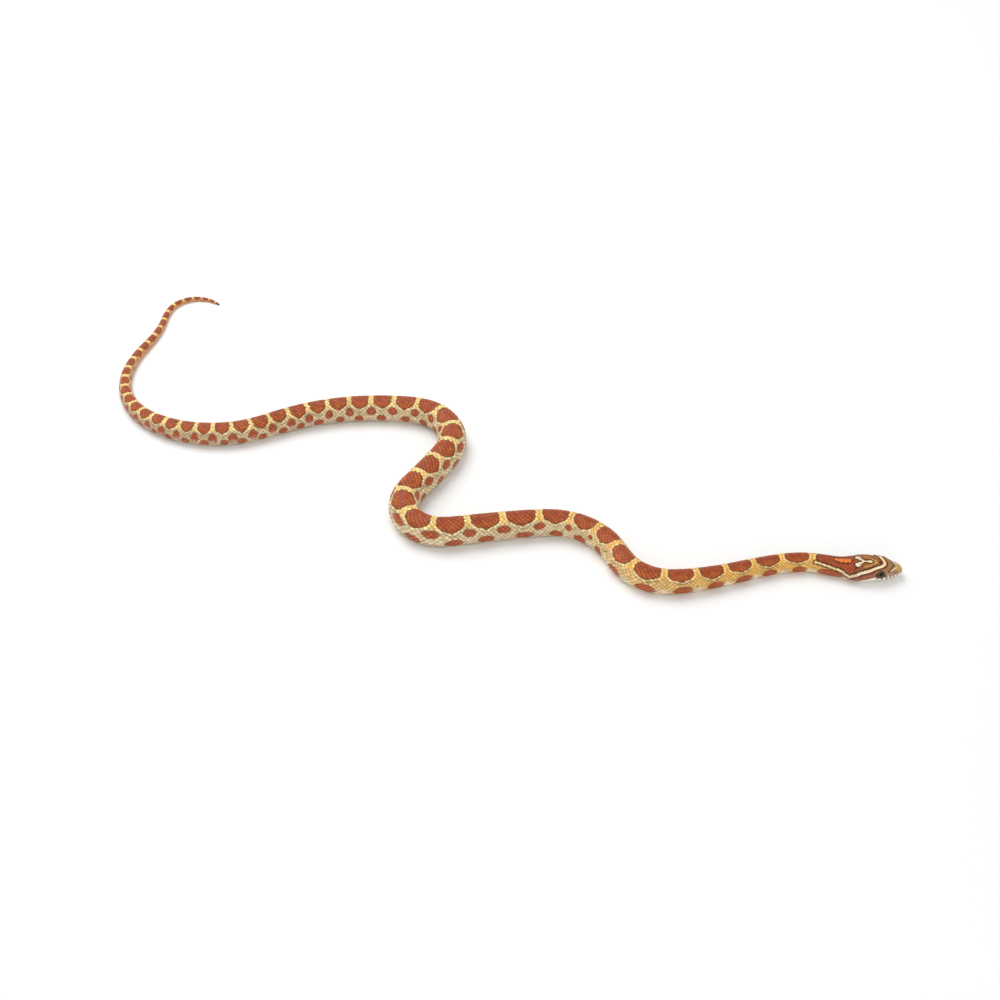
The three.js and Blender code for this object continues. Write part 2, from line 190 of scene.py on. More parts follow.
@dataclass(frozen=True)
class Spine:
    """Course of the spine on the floor, as the solids have it."""

    snout: tuple[float, float] = (190.7, -97.71)
    start_heading: float = 178.0
    head_length: float = 23.0
    length: float = 620.0
    softness: float = 14.0
    head_lift: float = 0.4
    lift_end: float = 50.0
    stretch: tuple[float, float] = (1.2, 1.06)
    reach_even: float = 0.9
    reach_growing: float = 0.00025
    stretch_full: float = 21.0
    stretch_none: float = 32.0
    step: float = 0.25
    beyond: float = 5.0
    settle: float = 60.0
    bends: Course = (
        (9, -19), (22, 32), (21, 9), (33, -12), (21, -52), (12, -28), (45, 78), (45, 6),
        (44, -138), (31, 6), (43, 110), (28, 13), (48, 25), (62, -64), (49, -65), (21, -17),
        (27, 25), (35, -130),
    )

    def __post_init__(self) -> None:
        """Works out the heading and place at every step along the spine."""
        lengths, turns = np.array(self.bends, float).T
        edges = self.head_length + np.r_[0, np.cumsum(lengths)]
        turned = np.r_[0, np.cumsum(turns)]
        s = np.arange(-self.beyond, self.length + self.beyond, self.step)
        wide = np.arange(-self.settle, self.length + self.settle, self.step)
        sharp = np.interp(wide, edges, turned)
        area = np.r_[0, np.cumsum((sharp[1:] + sharp[:-1]) / 2 * self.step)]
        half = self.softness / 2
        soft = (np.interp(s + half, wide, area) - np.interp(s - half, wide, area)) / self.softness
        heading = np.radians(self.start_heading + soft)
        middle = (heading[1:] + heading[:-1]) / 2
        x = np.r_[0, np.cumsum(np.cos(middle)) * self.step]
        y = np.r_[0, np.cumsum(np.sin(middle)) * self.step]
        x += self.snout[0] - np.interp(0, s, x)
        y += self.snout[1] - np.interp(0, s, y)
        object.__setattr__(self, "traced", (s, x, y, heading))

    def place(self, straight: Array) -> Array:
        """Bends points of the straightened body onto the floor, with the head widened to life size.

        Args:
            straight: rows of distance along the spine, distance across and height.

        Returns:
            Rows of X, Y and Z in millimetres.
        """
        s, x, y, heading = self.traced
        at, across, up = straight.T
        across_stretch, up_stretch = self.stretch
        ahead = np.maximum(self.head_length - at, 0)
        along = at + ahead - self.reach_even * ahead - self.reach_growing * ahead**3
        full = 1 - smooth_step(self.stretch_full, self.stretch_none, at)
        across = across * (1 + (across_stretch - 1) * full)
        up = up * (1 + (up_stretch - 1) * full)
        angle = np.interp(along, s, heading)
        lift = self.head_lift * (1 - smooth_step(0, self.lift_end, along))
        return np.column_stack([
            np.interp(along, s, x) - across * np.sin(angle),
            np.interp(along, s, y) + across * np.cos(angle),
            up + lift,
        ])


@dataclass
class BodyForm:
    """The animal's whole surface without scales, as sections along the spine.

    Each row of the form gives the distance along the spine, half width, level of the widest part,
    height of the back, height of the underside, squareness above, and how much of the underside
    is flat.
    """

    rows: Array = field(default_factory=lambda: np.array([
        [0.0, 2.40, 2.85, 4.50, 1.10, 2.2, 0.30],
        [1.8, 2.85, 2.90, 4.95, 0.75, 2.4, 0.30],
        [3.0, 3.42, 2.95, 5.46, 0.50, 2.6, 0.30],
        [4.6, 4.15, 3.00, 6.00, 0.40, 2.8, 0.30],
        [6.3, 4.85, 3.10, 6.60, 0.30, 3.0, 0.42],
        [7.8, 5.20, 3.20, 7.00, 0.25, 3.1, 0.46],
        [9.4, 5.35, 3.30, 7.25, 0.20, 3.1, 0.48],
        [11.0, 5.45, 3.40, 7.40, 0.12, 3.0, 0.50],
        [13.0, 5.70, 3.50, 7.55, 0.08, 2.8, 0.52],
        [15.0, 6.00, 3.60, 7.70, 0.04, 2.6, 0.54],
        [17.0, 6.15, 3.60, 7.80, 0.0, 2.4, 0.52],
        [19.0, 6.05, 3.50, 7.90, 0.0, 2.3, 0.50],
        [21.0, 5.75, 3.40, 7.95, 0.0, 2.1, 0.45],
        [23.0, 5.45, 3.36, 8.00, 0.0, 2.0, 0.40],
        [30.0, 4.90, 3.36, 8.00, 0.0, 2.0, 0.40],
        [44.0, 4.60, 3.40, 8.10, 0.0, 2.0, 0.40],
        [62.0, 4.60, 3.53, 8.40, 0.0, 2.0, 0.40],
        [85.0, 5.05, 3.91, 9.30, 0.0, 2.0, 0.40],
        [110.0, 5.75, 4.45, 10.60, 0.0, 2.0, 0.40],
        [130.0, 6.15, 4.79, 11.40, 0.0, 2.0, 0.40],
        [170.0, 6.20, 4.87, 11.60, 0.0, 2.0, 0.40],
        [205.0, 6.55, 5.17, 12.30, 0.0, 2.0, 0.40],
        [245.0, 7.05, 5.54, 13.20, 0.0, 2.0, 0.40],
        [300.0, 7.10, 5.59, 13.30, 0.0, 2.0, 0.40],
        [335.0, 6.55, 5.17, 12.30, 0.0, 2.0, 0.40],
        [370.0, 6.20, 4.91, 11.70, 0.0, 2.0, 0.40],
        [415.0, 5.85, 4.62, 11.00, 0.0, 2.0, 0.40],
        [455.0, 5.50, 4.33, 10.30, 0.0, 2.0, 0.40],
        [480.0, 4.85, 3.82, 9.10, 0.0, 2.0, 0.40],
        [502.0, 3.90, 3.07, 7.30, 0.0, 2.0, 0.40],
        [520.0, 3.15, 2.48, 5.90, 0.0, 2.0, 0.40],
        [545.0, 2.60, 2.02, 4.80, 0.0, 2.0, 0.40],
        [575.0, 1.95, 1.51, 3.60, 0.0, 2.0, 0.40],
        [600.0, 1.45, 1.13, 2.70, 0.0, 2.0, 0.40],
        [614.0, 0.95, 0.76, 1.80, 0.0, 2.0, 0.40],
        [620.0, 0.50, 0.42, 1.00, 0.0, 2.0, 0.40],
    ]))
    snout_round: float = 1.5
    tail_round: float = 1.0
    keel_angle: float = 62.0
    head_step: float = 0.1
    body_step: float = 1.0
    head_end: float = 26.0
    girth_samples: int = 129
    quarter_samples: int = 120
    tip_samples: int = 22
    tip_start: float = 0.02
    probe: tuple[float, float] = (0.05, 0.004)
    bare_tip: float = 0.05

    def __post_init__(self) -> None:
        """Samples the surface on a fine grid of stations and shares of the girth."""
        opening = np.linspace(self.tip_start, math.pi / 2, self.tip_samples)
        tip = self.snout_round * (1 - np.cos(opening))
        head = np.arange(self.snout_round + self.head_step, self.head_end, self.head_step)
        body = np.arange(self.head_end, self.rows[-1, 0] + self.body_step / 2, self.body_step)
        self.stations = np.r_[tip, head, body]
        columns = self.read(self.stations)
        half, level, crown, base, square, flat = [c[:, None] for c in columns]
        angle = np.linspace(0, math.pi / 2, self.quarter_samples)[None, :]
        upper_power = 2 / square
        upper_across = half * np.sin(angle) ** upper_power
        upper_up = level + (crown - level) * np.cos(angle) ** upper_power
        lower_across = half * (flat + (1 - flat) * np.cos(angle))
        lower_up = level - (level - base) * np.sin(angle)
        across = np.hstack([upper_across, lower_across[:, 1:], np.zeros_like(half)])
        up = np.hstack([upper_up, lower_up[:, 1:], base])
        length = np.hypot(np.diff(across, axis=1), np.diff(up, axis=1))
        run = np.hstack([np.zeros_like(half), np.cumsum(length, axis=1)])
        self.half_girth = run[:, -1]
        last = self.quarter_samples - 1
        keel_column = last + int(last * self.keel_angle / 90)
        self.keel = run[:, keel_column] / self.half_girth
        shares = np.linspace(0, 1, self.girth_samples)
        self.across = np.empty((len(self.stations), self.girth_samples))
        self.up = np.empty_like(self.across)
        for i, total in enumerate(self.half_girth):
            self.across[i] = np.interp(shares * total, run[i], across[i])
            self.up[i] = np.interp(shares * total, run[i], up[i])

    @property
    def scale_end(self) -> float:
        """Distance that no scale or scute reaches past."""
        return float(self.rows[-1, 0]) - self.bare_tip

    def read(self, s: Array) -> list[Array]:
        """Half width, level, back, underside, squareness and flatness, rounded off at both tips."""
        half, level, crown, base, square, flat = [
            read_table(self.rows, column, s) for column in range(1, 7)
        ]
        front = np.clip(s / self.snout_round, 0, 1)
        rear = np.clip((self.rows[-1, 0] - s) / self.tail_round, 0, 1)
        fullness = np.sqrt(1 - (1 - front) ** 2) * np.sqrt(1 - (1 - rear) ** 2)
        return [
            half * fullness,
            level,
            level + (crown - level) * fullness,
            level - (level - base) * fullness,
            square,
            flat,
        ]

    def keel_at(self, s: Array) -> Array:
        """Share of the half girth where the belly's edge lies."""
        return np.interp(s, self.stations, self.keel)

    def half_girth_at(self, s: Array) -> Array:
        """Distance from the back's midline round one side to the belly's midline."""
        return np.interp(s, self.stations, self.half_girth)

    def straight(self, s: Array, girth: Array) -> Array:
        """Points of the surface in the straightened body.

        Args:
            s: distances along the spine.
            girth: shares of the way round, 0 on the back's midline, 1 and -1 on the belly's.

        Returns:
            Rows of distance along the spine, distance across and height.
        """
        wrapped = (girth + 1) % 2 - 1
        row = np.interp(s, self.stations, np.arange(len(self.stations)))
        column = np.abs(wrapped) * (self.girth_samples - 1)
        i = np.clip(row.astype(int), 0, len(self.stations) - 2)
        k = np.clip(column.astype(int), 0, self.girth_samples - 2)
        a = row - i
        b = column - k

        def read(grid: Array) -> Array:
            """Bilinear reading of one grid."""
            first = grid[i, k] * (1 - b) + grid[i, k + 1] * b
            second = grid[i + 1, k] * (1 - b) + grid[i + 1, k + 1] * b
            return first * (1 - a) + second * a

        return np.column_stack([s, np.sign(wrapped) * read(self.across), read(self.up)])

    def normals(self, s: Array, girth: Array) -> Array:
        """Outward directions of the surface in the straightened body."""
        along, around = self.probe
        ahead = self.straight(s + along, girth) - self.straight(s - along, girth)
        beside = self.straight(s, girth + around) - self.straight(s, girth - around)
        normal = np.cross(ahead, beside)
        return normal / np.maximum(np.linalg.norm(normal, axis=1, keepdims=True), TINY)

    def lift_landmark(self, view: View, back: Array, other: Array) -> Array:
        """Finds landmarks of the head on the surface, on the side where across is positive.

        Args:
            view: how the landmarks are given.
            back: distances along the spine.
            other: the second value that the view asks for.

        Returns:
            Rows of distance along the spine, distance across and height.
        """
        half, level, crown, base, square, flat = self.read(back)
        if view is View.GIRTH:
            return self.straight(back, other * self.keel_at(back))
        if view is View.ABOVE:
            share = np.clip(other / half, 0, 1) ** (square / 2)
            up = level + (crown - level) * np.sqrt(1 - share**2) ** (2 / square)
            return np.column_stack([back, np.minimum(other, half), up])
        if view is View.CHIN:
            share = np.clip((other / half - flat) / (1 - flat), 0, 1)
            return np.column_stack([back, other, level - (level - base) * np.sqrt(1 - share**2)])
        above = np.clip((other - level) / (crown - level), 0, 1) ** (square / 2)
        high = half * np.sqrt(1 - above**2) ** (2 / square)
        below = np.clip((level - other) / (level - base), 0, 1)
        low = half * (flat + (1 - flat) * np.sqrt(1 - below**2))
        return np.column_stack([back, np.where(other >= level, high, low), other])


@dataclass(frozen=True)
class Line:
    """A line on the head, given by landmarks seen one way."""

    view: View
    points: Course
    step: float = 0.35
    least_back: float = 0.01

    def on_surface(self, form: BodyForm) -> Array:
        """Close-set points of the line on the surface."""
        points = np.array(self.points, float)
        run = np.r_[0, np.cumsum(np.linalg.norm(np.diff(points, axis=0), axis=1))]
        count = max(2, int(run[-1] / self.step) + 1)
        at = np.linspace(0, run[-1], count)
        back = np.interp(at, run, points[:, 0])
        other = np.interp(at, run, points[:, 1])
        return form.lift_landmark(self.view, np.maximum(back, self.least_back), other)


def distance_to_lines(points: Array, lines: list[Array]) -> Array:
    """Distance from each point to the nearest of some polylines, on one side of the body.

    Args:
        points: rows of distance along the spine, distance across and height.
        lines: the polylines, on the side where across is positive.

    Returns:
        One distance for each point, endless where no line is close.
    """
    folded = points * np.array([1, 0, 1]) + np.abs(points) * np.array([0, 1, 0])
    best = np.full(len(points), np.inf)
    for line in lines:
        low = line.min(0) - LINE_REACH
        high = line.max(0) + LINE_REACH
        close = np.all((folded > low) & (folded < high), axis=1)
        if not close.any():
            continue
        chosen = folded[close]
        nearest = np.full(len(chosen), np.inf)
        for start, end in zip(line[:-1], line[1:]):
            way = end - start
            share = np.clip((chosen - start) @ way / max(way @ way, TINY), 0, 1)
            gap = np.linalg.norm(chosen - start - share[:, None] * way, axis=1)
            nearest = np.minimum(nearest, gap)
        best[close] = np.minimum(best[close], nearest)
    return best


@dataclass
class HeadPlates:
    """The seams between the head's plates, the line of the mouth, the eyes and the nostrils."""

    mouth: Course = (
        (0.05, 2.35), (1.0, 2.3), (3.0, 2.2), (6.0, 2.2), (9.0, 2.3), (13.5, 2.6), (16.0, 2.9),
        (17.4, 2.95),
    )
    crown: tuple[Course, ...] = (
        ((1.0, 0), (0.75, 1.15)),
        ((1.0, 0), (3.1, 0)),
        ((3.1, 0), (2.9, 2.55)),
        ((0.75, 1.15), (1.3, 2.35), (2.9, 2.55)),
        ((3.1, 0), (6.4, 0)),
        ((6.4, 0), (6.35, 1.85)),
        ((6.35, 1.85), (6.1, 3.2)),
        ((2.9, 2.55), (3.6, 3.55), (5.6, 3.6), (6.1, 3.2)),
        ((6.35, 1.85), (8.6, 1.55), (11.2, 1.35)),
        ((11.2, 1.35), (12.3, 0)),
        ((11.2, 1.35), (11.7, 3.6)),
        ((6.1, 3.2), (6.9, 4.1)),
        ((11.7, 3.6), (11.5, 4.6)),
        ((12.3, 0), (17.8, 0)),
        ((11.7, 3.6), (12.1, 4.15), (14.0, 4.25), (16.8, 3.4), (18.2, 1.6), (17.8, 0)),
    )
    cheek: tuple[Course, ...] = (
        ((0.35, 4.2), (0.3, 2.35)),
        ((0.5, 3.45), (1.5, 3.2), (3.05, 3.55), (5.2, 3.6), (7.0, 3.45), (7.7, 3.35)),
        ((2.95, 4.9), (3.05, 3.55)),
        ((5.15, 5.5), (5.2, 3.6)),
        ((11.2, 3.5), (12.9, 3.85), (14.2, 4.1), (16.9, 4.2), (17.4, 3.6), (17.4, 2.95)),
        ((11.4, 4.95), (12.95, 4.95)),
        ((12.95, 6.3), (13.0, 3.85)),
        ((12.95, 5.1), (15.7, 5.25)),
        ((15.6, 6.6), (15.8, 4.2)),
        ((15.7, 5.9), (18.0, 5.9)),
        ((15.75, 5.0), (18.0, 5.0)),
        ((17.9, 6.6), (18.0, 4.2)),
    )
    upper_lips: tuple[float, ...] = (2.0, 3.5, 5.1, 6.9, 9.0, 11.4, 14.1)
    upper_lip_height: float = 1.3
    lower_lips: tuple[float, ...] = (1.0, 2.4, 4.1, 6.1, 8.3, 10.7, 13.1, 15.4)
    lower_lip_depth: float = 0.95
    lower_lip_slant: float = 0.3
    chin: tuple[Course, ...] = (
        ((0.9, 0.9), (2.2, 0)),
        ((2.2, 0), (7.2, 0)),
        ((2.2, 0.6), (2.6, 1.9), (6.6, 2.4), (7.3, 0.1)),
        ((6.6, 2.4), (10.9, 2.7), (11.6, 1.0), (7.3, 0.1)),
    )
    groove: float = 0.09
    groove_width: float = 0.085
    pillow: float = 0.07
    pillow_width: float = 0.3
    mouth_depth: float = 0.26
    mouth_width: float = 0.1
    jaw_inset: float = 0.16
    jaw_fade: float = 0.35
    jaw_end: tuple[float, float] = (16.5, 18.5)
    jaw_beyond: float = 0.8
    eye_back: float = 9.3
    eye_across: float = 4.42
    eye_up: float = 4.72
    eye_long: float = 2.4
    eye_high: float = 1.82
    eye_deep: float = 1.05
    look_up: float = 4.0
    look_ahead: float = 9.0
    eye_beyond: float = 3.4
    far_from_eye: float = 9.0
    socket_depth: float = 0.9
    socket_edge: tuple[float, float] = (0.84, 0.99)
    rim_place: float = 1.1
    rim_height: float = 0.12
    rim_width: float = 0.22
    brow: Course = ((6.6, 4.0), (7.8, 4.7), (9.4, 5.0), (11.2, 4.75))
    brow_height: float = 0.26
    brow_width: float = 0.45
    canthus: Course = ((1.6, 2.3), (3.6, 3.3), (5.8, 3.7))
    canthus_height: float = 0.08
    nostril: tuple[float, float] = (1.75, 3.85)
    nostril_depth: float = 0.5
    nostril_radius: float = 0.3
    nostril_stretch: tuple[float, float, float] = (0.8, 1.0, 1.1)
    nostril_ring: tuple[float, float, float] = (0.07, 0.48, 0.16)

    def seams(self, form: BodyForm) -> list[Array]:
        """All seams between plates as polylines on the surface."""
        lines = [Line(View.ABOVE, points) for points in self.crown]
        lines += [Line(View.CHEEK, points) for points in self.cheek]
        lines += [Line(View.CHIN, points) for points in self.chin]
        for back in self.upper_lips:
            low = float(follow(self.mouth, back))
            lines.append(Line(View.CHEEK, ((back, low), (back, low + self.upper_lip_height))))
        edge = []
        for back in self.lower_lips:
            high = float(follow(self.mouth, back))
            corner = (back + self.lower_lip_slant, high - self.lower_lip_depth)
            lines.append(Line(View.CHEEK, ((back, high), corner)))
            edge.append(corner)
        lines.append(Line(View.CHEEK, tuple(edge)))
        return [line.on_surface(form) for line in lines]

    def eye_distance(self, straight: Array) -> Array:
        """How far out a point lies from the eye's middle, as a share of the eye's outline."""
        back = (straight[:, 0] - self.eye_back) / self.eye_long
        up = (straight[:, 2] - self.eye_up) / self.eye_high
        share = np.hypot(back, up)
        return np.where(np.abs(straight[:, 1]) > self.eye_beyond, share, self.far_from_eye)

    def relief(self, form: BodyForm, straight: Array) -> Array:
        """Height of the head's plates and features over the plain surface."""
        seam = distance_to_lines(straight, self.seams(form))
        height = self.pillow * (1 - np.exp(-seam / self.pillow_width))
        height -= self.groove * near(seam, self.groove_width)
        mouth = distance_to_lines(straight, [Line(View.CHEEK, self.mouth).on_surface(form)])
        height -= self.mouth_depth * near(mouth, self.mouth_width)
        back, across, up = straight.T
        in_jaw = smooth_step(0, self.jaw_fade, follow(self.mouth, back) - up)
        in_jaw = in_jaw * (1 - smooth_step(*self.jaw_end, back))
        height -= self.jaw_inset * in_jaw * (np.abs(across) > self.jaw_beyond)
        for ridge, rise in ((self.brow, self.brow_height), (self.canthus, self.canthus_height)):
            away = distance_to_lines(straight, [Line(View.ABOVE, ridge).on_surface(form)])
            height += rise * near(away, self.brow_width)
        nostril = form.lift_landmark(View.CHEEK, *[np.array([v]) for v in self.nostril])[0]
        folded = np.column_stack([back, np.abs(across), up])
        reach = np.linalg.norm((folded - nostril) * np.array(self.nostril_stretch), axis=1)
        height -= self.nostril_depth * near(reach, self.nostril_radius, 3)
        rise, place, width = self.nostril_ring
        height += rise * near(reach - place, width)
        eye = self.eye_distance(straight)
        rim = near((eye - self.rim_place) * self.eye_long, self.rim_width)
        height = np.where(eye < 1, 0, height) + self.rim_height * rim
        return height - self.socket_depth * (1 - smooth_step(*self.socket_edge, eye))


def dye(red: float, green: float, blue: float) -> Array:
    """Field of a palette that holds one display colour."""
    return field(default_factory=lambda: srgb(red, green, blue))


@dataclass(frozen=True)
class Palette:
    """The animal's colours."""

    saddle: Array = dye(158, 64, 27)
    saddle_deep: Array = dye(136, 50, 18)
    saddle_fleck: Array = dye(206, 122, 50)
    saddle_edge: Array = dye(66, 32, 16)
    gap_front: Array = dye(240, 174, 74)
    gap_rear: Array = dye(242, 202, 120)
    cream: Array = dye(250, 228, 164)
    ground_front: Array = dye(222, 172, 88)
    ground_middle: Array = dye(212, 188, 146)
    ground_rear: Array = dye(190, 160, 126)
    side_spot: Array = dye(170, 78, 44)
    white: Array = dye(238, 228, 208)
    belly: Array = dye(240, 231, 214)
    check: Array = dye(120, 62, 36)
    tail_ground: Array = dye(214, 158, 106)
    tail_saddle: Array = dye(150, 72, 44)
    head_brown: Array = dye(158, 90, 42)
    head_deep: Array = dye(70, 24, 10)
    head_olive: Array = dye(206, 152, 72)
    band: Array = dye(247, 222, 180)
    band_warm: Array = dye(250, 205, 130)
    front_band: Array = dye(160, 116, 74)
    snout: Array = dye(188, 152, 104)
    snout_tip: Array = dye(198, 166, 88)
    eye_stripe: Array = dye(164, 96, 66)
    lip: Array = dye(244, 232, 214)
    lip_bar: Array = dye(118, 44, 30)
    nape_stripe: Array = dye(236, 122, 40)
    jaw_tan: Array = dye(210, 152, 92)
    loreal: Array = dye(182, 146, 130)


@dataclass(frozen=True)
class Zones:
    """How far each point belongs to the front of the body, to its rear and to the tail."""

    front: Array
    rear: Array
    tail: Array


@dataclass(frozen=True)
class SaddlePattern:
    """Layout of the saddles on the back and of the ground round them.

    A span gives the two distances along the spine between which something changes. Reach, length,
    edges and widths are shares: along the body of half a saddle's pitch, round it of the way from
    the back's midline to the belly's edge.
    """

    first_gap: float = 41.6
    nape_saddle: float = 19.0
    pitches: Course = (
        (40.0, 14.2), (75.0, 14.0), (110.0, 15.5), (150.0, 13.9), (190.0, 17.5), (230.0, 15.5),
        (265.0, 14.2), (300.0, 13.5), (340.0, 12.4), (380.0, 10.9), (420.0, 9.8), (470.0, 8.3),
        (520.0, 8.0), (560.0, 7.2), (590.0, 6.5), (604.0, 4.8), (620.0, 3.5), (650.0, 3.5),
    )
    draws: int = 8
    front_span: tuple[float, float] = (60, 210)
    rear_span: tuple[float, float] = (360, 540)
    tail_span: tuple[float, float] = (520, 548)
    ground_span: tuple[float, float] = (70, 190)
    gap_span: tuple[float, float] = (120, 330)
    length: float = 0.81
    shorter_rear: float = 0.04
    length_wobble: float = 0.02
    reach: float = 0.42
    lower_front: float = 0.03
    lower_rear: float = 0.02
    reach_wobble: float = 0.025
    tail_bars_from: float = 545.0
    tail_reach: float = 0.6
    taper: float = 0.5
    squareness: int = 7
    edge_slope: float = 3.5
    past_tip: float = 10.0
    weave_along: tuple[float, float] = (2.6, 1.7)
    weave_round: tuple[float, float] = (9.0, -31.0)
    gap_edge: tuple[float, float] = (0.2, 0.36)
    rim_place: float = 0.24
    rim_width: float = 0.2
    rim_end: tuple[float, float] = (0.45, 0.6)
    rim_strength: float = 0.85
    line_place: float = 0.62
    line_width: float = 0.17
    line_start: tuple[float, float] = (0.3, 0.42)
    line_breaks: tuple[float, float] = (0.1, 0.35)
    line_strength: float = 0.5
    line_stronger_front: float = 0.45
    dark_edge: tuple[float, float] = (0.08, 0.4)
    dark_edge_strength: float = 0.85
    outline: float = 0.03
    fleck_place: float = 0.24
    fleck_size: tuple[float, float] = (0.09, 0.42)
    fleck_strength: float = 0.3
    deep_width: float = 0.12
    deep_strength: float = 0.4
    tail_edge_fade: float = 0.5

    def inside(self, x: Array, share: Array, s: Array, zones: Zones, wobble: Array) -> Array:
        """How far inside a saddle each point lies: over 0 inside, 0 on its edge, under 0 outside.

        Args:
            x: place along the saddle, 0 in its middle and 1 at its pitch's ends.
            share: way round each point lies, 1 on the belly's edge.
            s: distance of each point along the spine.
            zones: how far each point belongs to front, rear and tail.
            wobble: the random draws that hold at each point.

        Returns:
            A measure that is over 0 inside and under 0 outside.
        """
        length = self.length - self.shorter_rear * zones.rear + self.length_wobble * wobble[:, 0]
        reach = self.reach - self.lower_front * zones.front - self.lower_rear * zones.rear
        reach = reach + self.reach_wobble * wobble[:, 1]
        reach = np.where(s > self.tail_bars_from, self.tail_reach, reach)
        beside = np.abs(x) / length
        below = share / reach + self.taper * np.abs(x)
        power = self.squareness
        return self.edge_slope * (1 - (beside**power + below**power) ** (1 / power))

    def weave(self, s: Array, share: Array) -> Array:
        """Crossed waves from 0 to 1 that break a line up as rows of scales do."""
        first_along, second_along = self.weave_along
        first_round, second_round = self.weave_round
        first = np.sin(first_along * s + first_round * share)
        second = np.sin(second_along * s + second_round * share)
        return 0.5 + 0.5 * first * second


class SpotPlace(Enum):
    """Where a row of side spots lies along the back's pattern."""

    GAP = "below the gaps between saddles"
    SADDLE = "below the saddles"


@dataclass(frozen=True)
class SpotRow:
    """A row of spots on the flank, measured in the same shares as the saddles.

    Draws are the columns of the random table that change the length and the centre.
    """

    place: SpotPlace
    half_along: float
    half_round: float
    centre: float
    power: float
    draws: tuple[int, int]
    longer_front: float = 0.0
    length_wobble: float = 0.0
    taller_front: float = 0.0
    taller_rear: float = 0.0
    higher_front: float = 0.0
    lower_rear: float = 0.0
    centre_wobble: float = 0.0
    missing_front: float = 0.0
    strength: float = 1.0

    def inside(self, along: Array, share: Array, zones: Zones, wobble: Array) -> Array:
        """How far inside a spot each point lies: 1 in its middle, under 0 outside.

        Args:
            along: distance from the spot's middle, as a share of half a pitch.
            share: way round each point lies, 1 on the belly's edge.
            zones: how far each point belongs to front, rear and tail.
            wobble: the random draws that hold at each point.

        Returns:
            A measure that is over 0 inside and under 0 outside.
        """
        length_draw, centre_draw = self.draws
        half_along = self.half_along + self.longer_front * zones.front
        half_along = half_along + self.length_wobble * wobble[:, length_draw]
        centre = self.centre - self.higher_front * zones.front + self.lower_rear * zones.rear
        centre = centre + self.centre_wobble * wobble[:, centre_draw]
        half_round = self.half_round + self.taller_front * zones.front + self.taller_rear * zones.rear
        measure = 1 - (along / half_along) ** self.power
        measure -= (np.abs(share - centre) / half_round) ** self.power
        return measure - self.missing_front * zones.front


@dataclass(frozen=True)
class FlankPattern:
    """Rows of side spots and the white patches between them."""

    rows: tuple[SpotRow, ...] = (
        SpotRow(
            SpotPlace.GAP, 0.46, 0.13, 0.45, 1.7, (2, 3), length_wobble=0.07, taller_rear=0.1,
            lower_rear=0.12, centre_wobble=0.02, missing_front=2.0,
        ),
        SpotRow(
            SpotPlace.SADDLE, 0.5, 0.15, 0.75, 2.0, (5, 5), longer_front=0.12, length_wobble=0.08,
            taller_front=0.06, higher_front=0.03,
        ),
        SpotRow(
            SpotPlace.GAP, 0.32, 0.1, 0.8, 1.6, (6, 6), centre_wobble=0.03, missing_front=2.0,
            strength=0.55,
        ),
    )
    rear_span: tuple[float, float] = (330, 470)
    slide_front: float = 0.1
    slide_wobble: float = 0.15
    slide_draw: int = 4
    outline: tuple[float, float] = (-0.05, 0.12)
    edge_place: float = 0.1
    edge_width: float = 0.22
    edge_strength: float = 0.6
    paler_tail: float = 0.8
    white_width: float = 0.34
    white_start: tuple[float, float] = (0.56, 0.72)
    white_strength: float = 0.75


@dataclass(frozen=True)
class BellyPattern:
    """Dark checks in blocks on the belly, and two dark lines under the tail."""

    block: float = 4.6
    bare: float = 0.45
    block_reach: tuple[float, float] = (0.18, 0.98)
    least_width: float = 0.1
    tail_line_place: float = 0.62
    tail_line_half: float = 0.26
    tail_line_paler: float = 0.3
    throat_end: float = 26.0
    edge: tuple[float, float] = (0.99, 1.04)
    scatter: tuple[float, float, float] = (12.9898, 78.233, 43758.5453)

    def filled(self, s: Array, side: Array) -> Array:
        """Whether the block of the belly at each point is dark, scattered as if at random."""
        along, beside, stretch = self.scatter
        block = np.floor(s / self.block + 0.5 * side)
        drawn = np.modf(np.abs(np.sin(block * along + side * beside) * stretch))[0]
        return drawn > self.bare


